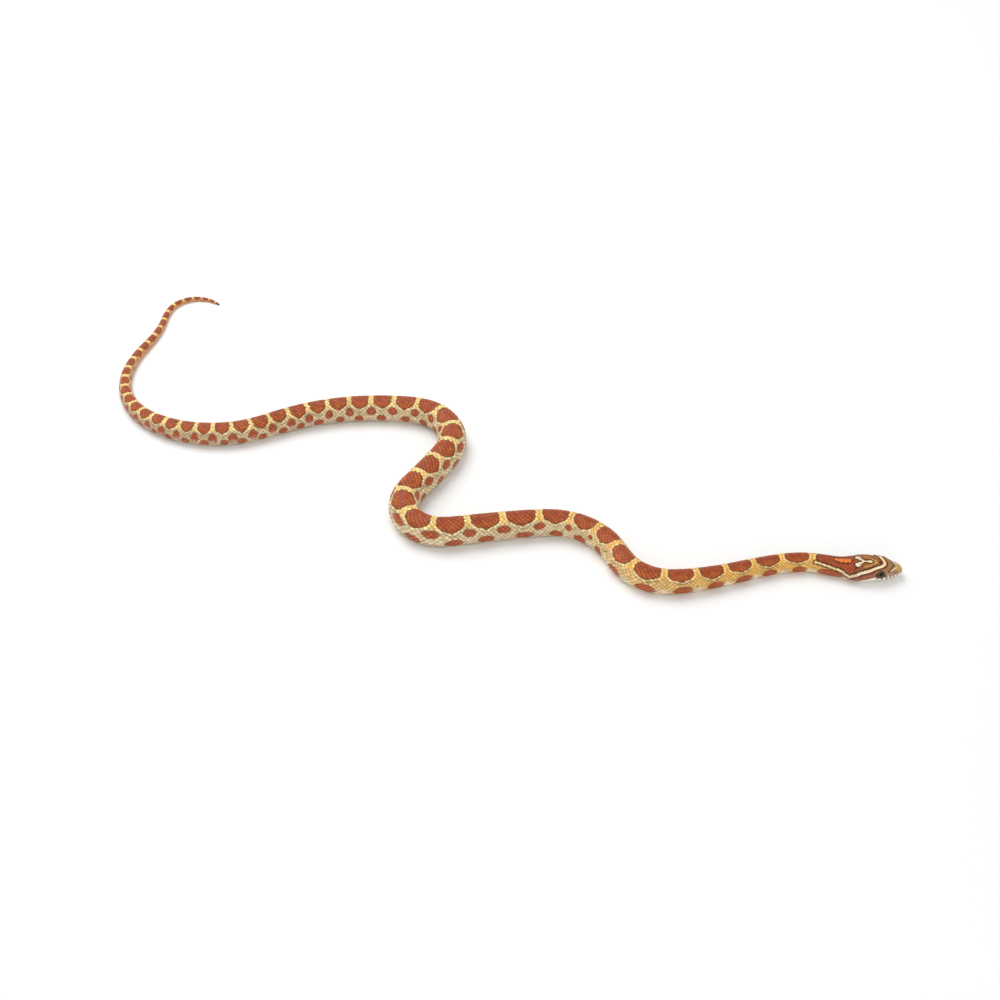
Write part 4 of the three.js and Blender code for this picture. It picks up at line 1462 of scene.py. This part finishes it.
@dataclass
class Skin:
    """One closed skin from snout to tail tip, fine on the head and plainer under the scales, where it is
    darkened with painted shade.
    """

    spine: Spine
    form: BodyForm
    plates: HeadPlates
    markings: Markings
    head_ring: int = 280
    body_ring: int = 56
    head_end: float = 22.0
    head_step: float = 0.1
    body_step: float = 1.3
    inset: float = 0.3
    cover_from: float = 17.0
    cover_full: float = 20.0
    head_map: tuple[float, float] = (0.01, 0.56)
    body_map: tuple[float, float] = (0.58, 0.99)
    strips: int = 6
    head_rows: tuple[float, float] = (0.02, 0.96)
    strip_rows: tuple[float, float] = (0.04, 0.92)
    girth_run: float = 2.02
    strip_overrun: float = 0.02
    tip_rings: int = 20
    tip_start: float = 0.06
    join_gap: float = 0.5
    tail_gap: float = 0.1
    tail_tip: float = 0.05
    # share of painted shade on the skin under and between the scales
    painted_shade_under_scales: float = 0.6

    def stations(self) -> tuple[Array, Array]:
        """Distances of the head's and the body's rings."""
        form = self.form
        opening = np.linspace(self.tip_start, math.pi / 2, self.tip_rings)
        tip = form.snout_round * (1 - np.cos(opening))
        head = np.r_[tip, np.arange(form.snout_round + self.head_step, self.head_end, self.head_step)]
        tail_end = form.rows[-1, 0] - self.tail_gap
        count = int((tail_end - self.head_end) / self.body_step)
        body = np.linspace(self.head_end + self.join_gap, tail_end, count)
        return head, body

    def surface(self, s: Array, ring: int) -> tuple[Array, Array]:
        """Points and shares of the girth of rings round the plain surface."""
        girth = np.linspace(-1, 1, ring, endpoint=False)
        along = np.repeat(s, ring)
        around = np.tile(girth, len(s))
        return self.form.straight(along, around), around

    def relief(self, straight: Array) -> Array:
        """Height over the plain surface: plates on the head, sunk below the scales behind it."""
        under = smooth_step(self.cover_from, self.cover_full, straight[:, 0])
        height = -self.inset * under
        on_head = straight[:, 0] < self.cover_full
        height[on_head] += self.plates.relief(self.form, straight[on_head]) * (1 - under[on_head])
        return height

    def build(self) -> bpy.types.Object:
        """Builds the skin and lets it stand for every node of flesh."""
        head_s, body_s = self.stations()
        parts = []
        for s, ring in ((head_s, self.head_ring), (body_s, self.body_ring)):
            straight, around = self.surface(s, ring)
            parts.append((straight, around, self.form.normals(np.repeat(s, ring), around)))
        straight = np.vstack([p[0] for p in parts])
        around = np.r_[parts[0][1], parts[1][1]]
        normal = np.vstack([p[2] for p in parts])
        along = straight[:, 0].copy()
        tips = np.array([
            [straight[: self.head_ring, 0].min(), 0, straight[: self.head_ring, 2].mean()],
            [straight[-1, 0] + self.tail_tip, 0, straight[-self.body_ring :, 2].mean()],
        ])
        raised = straight + normal * self.relief(straight)[:, None]
        points = self.spine.place(np.vstack([raised, tips]))
        share = np.abs(around) / self.form.keel_at(along)
        colours = self.markings.colour(straight, share)
        # painted shade: the skin under and between the scales is darkened
        under = smooth_step(self.cover_from, self.cover_full, along)
        colours *= (1 - self.painted_shade_under_scales * under)[:, None]
        tip_colours = np.vstack([colours[: self.head_ring].mean(0), colours[-1]])
        faces = self.faces(len(head_s), len(body_s))
        corners = self.corner_map(faces, np.r_[along, tips[:, 0]], np.r_[around, 0, 0])
        piece = Piece("skin", points, faces, np.vstack([colours, tip_colours]), corners)
        flesh = [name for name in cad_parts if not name.startswith("eye")]
        return piece.build(SkinFinish("skin_under_scales").make(), "skin_body", flesh)

    def faces(self, head_rows: int, body_rows: int) -> list[list[int]]:
        """Quads along both parts, a fan between them, and a fan at each tip."""
        faces = []
        first_body = head_rows * self.head_ring
        total = first_body + body_rows * self.body_ring
        parts = ((0, head_rows, self.head_ring), (first_body, body_rows, self.body_ring))
        for start, rows, ring in parts:
            row = np.arange(rows - 1)[:, None] * ring + start
            k = np.arange(ring)[None, :]
            after = (k + 1) % ring
            quads = np.stack([row + k, row + ring + k, row + ring + after, row + after], axis=-1)
            faces += quads.reshape(-1, 4).tolist()
        last = first_body - self.head_ring
        ratio = self.head_ring // self.body_ring
        for k in range(self.body_ring):
            coarse = first_body + k
            beside = first_body + (k + 1) % self.body_ring
            for j in range(ratio):
                fine = last + k * ratio + j
                after = last + (k * ratio + j + 1) % self.head_ring
                faces.append([fine, coarse if j < ratio // 2 + 1 else beside, after])
                if j == ratio // 2:
                    faces.append([after, coarse, beside])
        for k in range(self.head_ring):
            faces.append([total, k, (k + 1) % self.head_ring])
        for k in range(self.body_ring):
            end = total - self.body_ring
            faces.append([total + 1, end + (k + 1) % self.body_ring, end + k])
        return faces

    def corner_map(self, faces: list[list[int]], along: Array, around: Array) -> Array:
        """Unwrap: the head fills the left part of the map, the body lies in strips on the right."""
        sizes = np.array([len(face) for face in faces])
        corners = np.fromiter((i for face in faces for i in face), int, sizes.sum())
        face_of = np.repeat(np.arange(len(faces)), sizes)
        s = along[corners]
        girth = around[corners]
        low = np.full(len(faces), np.inf)
        np.minimum.at(low, face_of, girth)
        high = np.full(len(faces), -np.inf)
        np.maximum.at(high, face_of, girth)
        wraps = ((high - low)[face_of] > 1) & (girth < 0)
        girth = np.where(wraps, girth + 2, girth)
        middle = np.zeros(len(faces))
        np.add.at(middle, face_of, s)
        middle = (middle / sizes)[face_of]
        left, right = self.head_map
        head_u = left + (right - left) * s / self.head_end
        turn = (girth + 1) / self.girth_run
        low_edge, height = self.head_rows
        head_v = low_edge + height * turn
        strip_length = (along.max() - self.head_end + 1) / self.strips
        strip = np.clip(((middle - self.head_end) / strip_length).astype(int), 0, self.strips - 1)
        left, right = self.body_map
        within = (s - self.head_end - strip * strip_length) / strip_length
        within = np.clip(within, -self.strip_overrun, 1 + self.strip_overrun)
        body_u = left + (right - left) * within
        low_edge, height = self.strip_rows
        body_v = (strip + low_edge + height * turn) / self.strips
        on_head = middle < self.head_end
        return np.column_stack([np.where(on_head, head_u, body_u), np.where(on_head, head_v, body_v)])


@dataclass
class ScaleShape:
    """One scale as a thin domed leaf with a free rear edge."""

    stations: tuple[float, ...] = (-1.0, -0.45, 0.1, 0.5, 0.8, 1.0)
    widths: tuple[float, ...] = (0.35, 0.88, 1.0, 0.84, 0.52, 0.1)
    columns: int = 5
    front_depth: float = -0.14
    rear_height: float = 0.24
    dome: float = 0.11
    keel: float = 0.035
    thickness: float = 0.11
    rise_power: float = 0.8
    keel_reach: float = 0.9
    underside: float = 0.94

    def __post_init__(self) -> None:
        """Lays out the leaf's top, its rim and its underside."""
        across = np.linspace(-1, 1, self.columns)
        along = np.repeat(self.stations, self.columns)
        beside = np.tile(across, len(self.stations))
        self.along = along
        self.across = beside * np.repeat(self.widths, self.columns)
        rise = (along + 1) / 2
        height = self.front_depth + (self.rear_height - self.front_depth) * rise**self.rise_power
        height -= self.dome * beside**2
        self.ridge = self.keel * (beside == 0) * (np.abs(along) < self.keel_reach)
        rows = len(self.stations)
        faces = grid_quads(rows, self.columns)
        rim = rim_of_grid(rows, self.columns)
        base = rows * self.columns
        for i, here in enumerate(rim):
            j = (i + 1) % len(rim)
            faces.append([here, rim[j], base + j, base + i])
        faces.append([base + i for i in range(len(rim))])
        self.faces = faces
        self.along = np.r_[self.along, self.along[rim]]
        self.across = np.r_[self.across, self.across[rim] * self.underside]
        self.height = np.r_[height, height[rim] - self.thickness]
        self.ridge = np.r_[self.ridge, np.zeros(len(rim))]
        self.beside = np.r_[beside, beside[rim]]


def scale_pitch(form: BodyForm, s: Array) -> Array:
    """Length of body that one cross row of scales, or one belly scute, covers."""
    half = read_table(form.rows, 1, s)
    return PITCH_LEAST + PITCH_GROWTH * half


def row_places(form: BodyForm, start: float, end: float) -> Array:
    """Distances of the cross rows of scales between two places along the spine."""
    places = [start]
    while places[-1] < end:
        places.append(places[-1] + float(scale_pitch(form, np.array([places[-1]]))[0]))
    return np.array(places)


@dataclass
class ScaleCoat:
    """The scales of back and sides, in rows that lie like tiles."""

    spine: Spine
    form: BodyForm
    markings: Markings
    shape: ScaleShape
    name: str
    start: float
    end: float
    rows: int
    slot: str
    per_piece: int = 1900
    overlap: float = 0.74
    breadth: float = 1.06
    patch: float = 0.0015
    head_edge: Course = ((0, 18.3), (0.3, 17.6), (0.55, 17.6), (0.7, 17.9), (0.85, 17.6), (1.0, 17.4))
    length_spread: float = 0.04
    height_spread: float = 0.015
    keeled_share: float = 0.5
    floor_gap: float = 0.02
    own_place: float = 0.8
    # painted shade towards each scale's rim, beside it and behind it
    rim_shade_weights: tuple[float, float] = (0.75, 0.35)
    rim_from: tuple[float, float] = (0.6, 1.0)
    front_span: tuple[float, float] = (-0.75, -0.1)
    rim_shade: float = 0.72
    front_shade: float = 0.5
    brightness: float = 1.2
    brightness_spread: float = 0.13
    redness: tuple[float, float] = (7, 14)
    least_blue: float = 0.02
    map_along: tuple[float, float] = (0.02, 0.96)
    map_round: tuple[float, float] = (0.5, 0.48)
    map_margin: float = 2.0
    fleck_place: float = 0.3
    fleck_size: tuple[float, float] = (0.4, 0.55)
    fleck_strength: float = 0.7
    fleck_draw: tuple[float, float] = (0.1, 1.0)
    fleck_power: float = 1.5

    def centres(self) -> tuple[Array, Array, Array, Array]:
        """Place along, place round, row and pitch of every scale."""
        along = []
        row_of = []
        places = row_places(self.form, self.start, self.end)
        pitches = scale_pitch(self.form, places)
        for row in range(self.rows):
            offset = 0.5 * (row % 2)
            along.append(places + offset * pitches)
            row_of.append(np.full(len(places), row))
        along = np.concatenate(along)
        row_of = np.concatenate(row_of)
        keep = along < self.end + 1
        along, row_of = along[keep], row_of[keep]
        step = 2 * self.form.keel_at(along) / self.rows
        around = (row_of - (self.rows - 1) / 2) * step
        share = np.abs(around) / self.form.keel_at(along)
        keep = along > follow(self.head_edge, share)
        return along[keep], around[keep], row_of[keep], step[keep]

    def build(self) -> list[bpy.types.Object]:
        """Builds the coat in pieces that follow one another down the body."""
        along, around, row_of, step = self.centres()
        order = np.argsort(along, kind="stable")
        count = math.ceil(len(order) / self.per_piece)
        material = SkinFinish(f"{self.name}_finish").make()
        pieces = []
        for index, chosen in enumerate(np.array_split(order, count)):
            name = f"{self.name}_{index + 1}"
            piece = self.piece(name, along[chosen], around[chosen], row_of[chosen], step[chosen])
            pieces.append(piece.build(material, self.slot, []))
        return pieces

    def piece(self, name: str, along: Array, around: Array, row_of: Array, step: Array) -> Piece:
        """Bends one set of scales onto the body."""
        rng = np.random.default_rng(SEED + len(name) + int(along[0]))
        shape = self.shape
        pitch = scale_pitch(self.form, along)
        size = pitch / PITCH_OF_SHAPE
        n = len(shape.along)
        length = self.overlap * pitch * (1 + self.length_spread * rng.standard_normal(len(along)))
        s = along[:, None] + length[:, None] * shape.along[None, :]
        girth = around[:, None] + step[:, None] * self.breadth * shape.across[None, :]
        s = np.minimum(s, self.form.scale_end)
        middle_row = (self.rows - 1) / 2
        keeled = np.clip(1 - np.abs(row_of - middle_row) / (self.keeled_share * middle_row), 0, 1)
        height = shape.height[None, :] * size[:, None] + shape.ridge[None, :] * (size * keeled)[:, None]
        height = height - SCALE_SINK + self.height_spread * rng.standard_normal(len(along))[:, None]
        straight = self.form.straight(s.ravel(), girth.ravel())
        normal = self.form.normals(s.ravel(), girth.ravel())
        points = self.spine.place(straight + normal * height.ravel()[:, None])
        points[:, 2] = np.maximum(points[:, 2], self.floor_gap)
        base = np.arange(len(along))[:, None] * n
        faces = []
        for face in shape.faces:
            faces += (base + np.array(face)[None, :]).tolist()
        colours = self.colours(along, around, s, girth, rng)
        return Piece(name, points, faces, colours, self.corner_map(along, around))

    def colours(
        self, along: Array, around: Array, s: Array, girth: Array, rng: np.random.Generator
    ) -> Array:
        """Markings drawn a little towards each scale's own place, so that their edges step.

        Args:
            along: distance of each scale along the spine.
            around: place of each scale round the body.
            s: distances of every scale's points.
            girth: places of every scale's points round the body.
            rng: source of the small differences between scales.

        Returns:
            Rows of linear colours, with painted shade at each scale's rim and covered front, and lighter
            in some middles.
        """
        own = self.own_place
        mixed_s = (along[:, None] * (1 - own) + s * own).ravel()
        mixed_girth = (around[:, None] * (1 - own) + girth * own).ravel()
        straight = self.form.straight(mixed_s, mixed_girth)
        share = np.abs(mixed_girth) / self.form.keel_at(mixed_s)
        colour = self.markings.colour(straight, share).reshape(len(along), -1, 3)
        shape = self.shape
        # painted light and shade: each scale is darker at its rim and covered front, and its middle is
        # lifted by the brightness, which also differs at random
        beside, behind = self.rim_shade_weights
        rim = np.abs(shape.beside) ** 2 * beside + smooth_step(*self.rim_from, shape.along) * behind
        front = 1 - smooth_step(*self.front_span, shape.along)
        shading = 1 - self.rim_shade * np.clip(rim, 0, 1) - self.front_shade * front
        brightness = self.brightness + self.brightness_spread * rng.standard_normal(len(along))
        lit = colour * (brightness[:, None] * shading[None, :])[:, :, None]
        dark = smooth_step(*self.redness, colour[:, :, 0] / np.maximum(colour[:, :, 2], self.least_blue))
        long, wide = self.fleck_size
        centre = near(shape.beside, wide) * near(shape.along - self.fleck_place, long)
        drawn = self.fleck_strength * rng.uniform(*self.fleck_draw, len(along)) ** self.fleck_power
        strength = drawn[:, None] * centre[None, :] * dark
        warm = np.broadcast_to(self.markings.palette.saddle_fleck, lit.shape)
        return mix(lit, warm, strength).reshape(-1, 3)

    def corner_map(self, along: Array, around: Array) -> Array:
        """A small patch of the map for each scale, at its root's place on the unwrapped body."""
        shape = self.shape
        start = along.min() - self.map_margin
        run = along.max() - start + self.map_margin
        first, length = self.map_along
        middle, spread = self.map_round
        u = first + length * (along - start) / run
        v = middle + spread * around
        corners = []
        for face in shape.faces:
            local_u = u[:, None] + shape.along[face] * self.patch
            local_v = v[:, None] + shape.across[face] * self.patch
            corners.append(np.stack([local_u, local_v], axis=-1).reshape(-1, 2))
        return np.vstack(corners)


@dataclass
class BellyScutes:
    """Wide belly scutes from the throat to the vent, and paired ones under the tail."""

    spine: Spine
    form: BodyForm
    markings: Markings
    start: float = 17.6
    vent: float = 532.0
    end: float = 617.0
    columns: int = 15
    stations: tuple[float, ...] = (-1.0, -0.6, 0.3, 0.82, 1.0)
    heights: tuple[float, ...] = (-0.16, 0.02, 0.16, 0.2, 0.12)
    thickness: float = 0.12
    overlap: float = 0.66
    tuck: float = 0.06
    whole: tuple[tuple[float, float], ...] = ((-1.0, 1.0),)
    paired: tuple[tuple[float, float], ...] = ((-1.0, -0.03), (0.03, 1.0))
    pair_shift: float = 0.5
    bow: float = 0.12
    floor_gap: float = 0.01
    rear_shade: float = 0.15
    rear_span: tuple[float, float] = (0.7, 1.0)
    roughness: float = 0.3
    map_along: tuple[float, float] = (0.02, 0.96)
    map_round: tuple[float, float] = (0.5, 0.75)

    def build(self) -> bpy.types.Object:
        """Builds all the scutes as one piece."""
        scutes = []
        for place in row_places(self.form, self.start, self.end):
            pitch = float(scale_pitch(self.form, np.array([place]))[0])
            for index, (low, high) in enumerate(self.whole if place < self.vent else self.paired):
                scutes.append(self.scute(place + self.pair_shift * index * pitch, low, high))
        first = 0
        faces = []
        for scute in scutes:
            faces += [[first + i for i in face] for face in scute.faces]
            first += len(scute.points)
        points = np.vstack([scute.points for scute in scutes])
        colours = np.vstack([scute.colours for scute in scutes])
        corners = np.vstack([scute.corner_map for scute in scutes])
        piece = Piece("belly_scutes", points, faces, colours, corners)
        return piece.build(SkinFinish("belly_finish", roughness=self.roughness).make(), "skin_body", [])

    def scute(self, place: float, low: float, high: float) -> Piece:
        """Makes one scute that spans part of the belly from one keel to the other.

        Args:
            place: distance of the scute's middle along the spine.
            low: where it starts, with -1 on the left keel, 0 on the belly's midline and 1 on the right.
            high: where it ends.

        Returns:
            The scute alone, with its faces counted from its own first point.
        """
        pitch = float(scale_pitch(self.form, np.array([place]))[0])
        across = np.linspace(low, high, self.columns)
        rows = len(self.stations)
        s = np.repeat(place + np.array(self.stations) * self.overlap * pitch, self.columns)
        s = np.clip(s, 0, self.form.scale_end)
        edge = 1 - self.form.keel_at(s) + self.tuck
        girth = 1 + np.tile(across, rows) * edge
        s = s - self.bow * pitch * np.tile(np.abs(across) ** 3, rows)
        s = np.clip(s, 0, self.form.scale_end)
        height = np.repeat(self.heights, self.columns) * pitch / PITCH_OF_SHAPE - SCALE_SINK
        straight = self.form.straight(s, girth)
        normal = self.form.normals(s, girth)
        top = straight + normal * height[:, None]
        under = straight + normal * (height - self.thickness)[:, None]
        placed = self.spine.place(np.vstack([top, under]))
        placed[:, 2] = np.maximum(placed[:, 2], self.floor_gap)
        total = rows * self.columns
        faces = []
        for face in grid_quads(rows, self.columns):
            a, b, c, d = face
            faces.append(face)
            faces.append([a + total, d + total, c + total, b + total])
        rim = rim_of_grid(rows, self.columns)
        for here, after in zip(rim, rim[1:] + rim[:1]):
            faces.append([here, after, after + total, here + total])
        share = np.abs((girth + 1) % 2 - 1) / self.form.keel_at(s)
        middle = np.column_stack([np.full(len(s), place), straight[:, 1], straight[:, 2]])
        colour = self.markings.colour(middle, share)
        # painted shade towards each scute's rear edge
        shade = 1 - self.rear_shade * smooth_step(*self.rear_span, np.array(self.stations))
        colour = colour * np.repeat(shade, self.columns)[:, None]
        start, run = self.map_along
        centre, spread = self.map_round
        corner = np.column_stack([start + run * s / self.end, centre + spread * (girth - 1)])
        corner = np.vstack([corner, corner])
        order = [i for face in faces for i in face]
        return Piece("scute", placed, faces, np.vstack([colour, colour]), corner[order])


@dataclass
class Eyes:
    """The two eyes: a domed clear cap over a dark olive iris and a round pupil."""

    spine: Spine
    plates: HeadPlates
    rings: int = 40
    sectors: int = 56
    pupil_share: float = 0.5
    gaze_up: float = 24.0
    pupil: Array = dye(8, 6, 5)
    iris: Array = dye(70, 58, 38)
    iris_edge: Array = dye(34, 27, 18)
    iris_glow: Array = dye(104, 86, 54)
    glow: tuple[float, float, float] = (0.35, 0.05, 0.07)
    iris_end: tuple[float, float] = (0.72, 0.92)
    pupil_edge: float = 0.02
    map_size: tuple[float, float] = (0.5, 0.24)

    def build(self) -> list[bpy.types.Object]:
        """Builds both eyes in place of their nodes."""
        material = EyeFinish().make()
        return [self.eye(side).build(material, "eye", [f"eye_{side.name.lower()}"]) for side in Side]

    def eye(self, side: Side) -> Piece:
        """One eye, painted by the angle from where it looks."""
        plates = self.plates
        polar = np.linspace(0, math.pi, self.rings)[1:-1]
        turn = np.linspace(0, 2 * math.pi, self.sectors, endpoint=False)
        tilt, spin = np.meshgrid(polar, turn, indexing="ij")
        ball = np.column_stack([
            (np.sin(tilt) * np.cos(spin)).ravel(),
            np.cos(tilt).ravel(),
            (np.sin(tilt) * np.sin(spin)).ravel(),
        ])
        ball = np.vstack([ball, [0, 1, 0], [0, -1, 0]])
        sized = ball * np.array([plates.eye_long, plates.eye_deep, plates.eye_high])
        x, y, z = sized.T
        y, z = turned(y, z, plates.look_up)
        x, y = turned(x, y, plates.look_ahead)
        across = side.value * (y + plates.eye_across)
        straight = np.column_stack([x + plates.eye_back, across, z + plates.eye_up])
        rows = len(polar)
        faces = []
        for r in range(rows - 1):
            for c in range(self.sectors):
                a = r * self.sectors + c
                b = r * self.sectors + (c + 1) % self.sectors
                faces.append([a, b, b + self.sectors, a + self.sectors])
        for c in range(self.sectors):
            after = (c + 1) % self.sectors
            faces.append([rows * self.sectors, after, c])
            last = (rows - 1) * self.sectors
            faces.append([rows * self.sectors + 1, last + c, last + after])
        if side is Side.LEFT:
            faces = [face[::-1] for face in faces]
        gaze = math.radians(self.gaze_up)
        outward = ball[:, 1] * math.cos(gaze) + ball[:, 2] * math.sin(gaze)
        reach = np.sqrt(np.clip(1 - outward**2, 0, 1))
        strength, place, width = self.glow
        glow = strength * near(reach - self.pupil_share - place, width)
        colour = mix(self.iris, self.iris_glow, glow)
        colour = lay(colour, self.iris_edge, smooth_step(*self.iris_end, reach))
        outside = smooth_step(-self.pupil_edge, self.pupil_edge, reach - self.pupil_share)
        colour = lay(colour, self.pupil, 1 - outside)
        middle, size = self.map_size
        corner = middle + size * ball[:, [0, 2]]
        order = [i for face in faces for i in face]
        return Piece(f"{side.name.lower()}_eye", self.spine.place(straight), faces, colour, corner[order])


@dataclass
class Studio:
    """Pale floor, soft light and the camera at the photo's angle."""

    look_at: tuple[float, float, float] = (3.6, -46.1, 0.0)
    elevation: float = 43.0
    distance: float = 1068.0
    lens: float = 79.2
    sensor: float = 36.0
    floor_size: float = 6.0
    floor_colour: tuple[float, float, float, float] = (0.93, 0.935, 0.93, 1)
    floor_roughness: float = 0.9
    floor_sheen: float = 0.1
    key_power: float = 8.8
    key_size: float = 0.9
    key_place: tuple[float, float, float] = (-0.35, 0.45, 0.95)
    fill_power: float = 1.6
    fill_place: tuple[float, float, float] = (0.2, -0.9, 0.8)
    sky: float = 0.58
    catch_power: float = 1.3
    catch_size: float = 0.14
    catch_place: tuple[float, float, float] = (0.15, -1.05, 0.33)

    def build(self) -> None:
        """Sets up the floor, the lights, the sky and the camera."""
        self.floor()
        self.light("key_light", self.key_place, self.key_size, self.key_power)
        self.light("fill_light", self.fill_place, self.key_size, self.fill_power)
        self.light("catch_light", self.catch_place, self.catch_size, self.catch_power)
        self.world()
        self.camera()

    def floor(self) -> None:
        """A wide pale floor that is no part of the animal."""
        half = self.floor_size / 2
        mesh = bpy.data.meshes.new("floor")
        corners = [(-half, -half, 0), (half, -half, 0), (half, half, 0), (-half, half, 0)]
        mesh.from_pydata(corners, [], [(0, 1, 2, 3)])
        material = bpy.data.materials.new("floor_paper")
        material.use_nodes = True
        nodes = material.node_tree.nodes
        shader = nodes["Principled BSDF"]
        shader.inputs["Base Color"].default_value = self.floor_colour
        shader.inputs["Roughness"].default_value = self.floor_roughness
        shader.inputs["Specular IOR Level"].default_value = self.floor_sheen
        mesh.materials.append(material)
        floor = bpy.data.objects.new("floor", mesh)
        bpy.context.scene.collection.objects.link(floor)
        floor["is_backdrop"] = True

    def light(self, name: str, place: tuple[float, float, float], size: float, power: float) -> None:
        """One soft square light that looks at the animal.

        Args:
            name: the light's name.
            place: where it stands, in metres.
            size: its width, in metres.
            power: its power, in watts.
        """
        data = bpy.data.lights.new(name, "AREA")
        data.size = size
        data.energy = power
        lamp = bpy.data.objects.new(name, data)
        lamp.location = place
        lamp.rotation_euler = Vector(place).to_track_quat("Z", "Y").to_euler()
        bpy.context.scene.collection.objects.link(lamp)

    def world(self) -> None:
        """An even white sky."""
        world = bpy.data.worlds.new("sky")
        world.use_nodes = True
        background = world.node_tree.nodes["Background"]
        background.inputs["Color"].default_value = (1, 1, 1, 1)
        background.inputs["Strength"].default_value = self.sky
        bpy.context.scene.world = world
        bpy.context.scene.view_settings.view_transform = "Standard"

    def camera(self) -> None:
        """The camera, looking down along +Y."""
        data = bpy.data.cameras.new("camera")
        data.lens = self.lens
        data.sensor_width = self.sensor
        camera = bpy.data.objects.new("camera", data)
        angle = math.radians(self.elevation)
        back = Vector((0, -math.cos(angle), math.sin(angle)))
        camera.location = (Vector(self.look_at) + back * self.distance) * MM
        camera.rotation_euler = back.to_track_quat("Z", "Y").to_euler()
        bpy.context.scene.collection.objects.link(camera)
        bpy.context.scene.camera = camera


def main() -> None:
    """Builds the animal and its studio in order, and works out both boxes."""
    logging.basicConfig(level=logging.INFO, format="%(message)s")
    Studio().build()
    spine = Spine()
    form = BodyForm()
    plates = HeadPlates()
    markings = Markings(form)
    Skin(spine, form, plates, markings).build()
    Eyes(spine, plates).build()
    leaf = ScaleShape()
    for name, start, end, rows, slot in (
        ("body_scales", 15.0, 533.0, 27, "skin_body"),
        ("tail_scales", 532.0, 619.0, 17, "skin_tail"),
    ):
        ScaleCoat(spine, form, markings, leaf, name, start, end, rows, slot).build()
    BellyScutes(spine, form, markings).build()
    boxes = {"cad": cad_box, "visual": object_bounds()}
    {name: [list(corner) for corner in box] for name, box in boxes.items()}


if __name__ == "__main__":
    main()
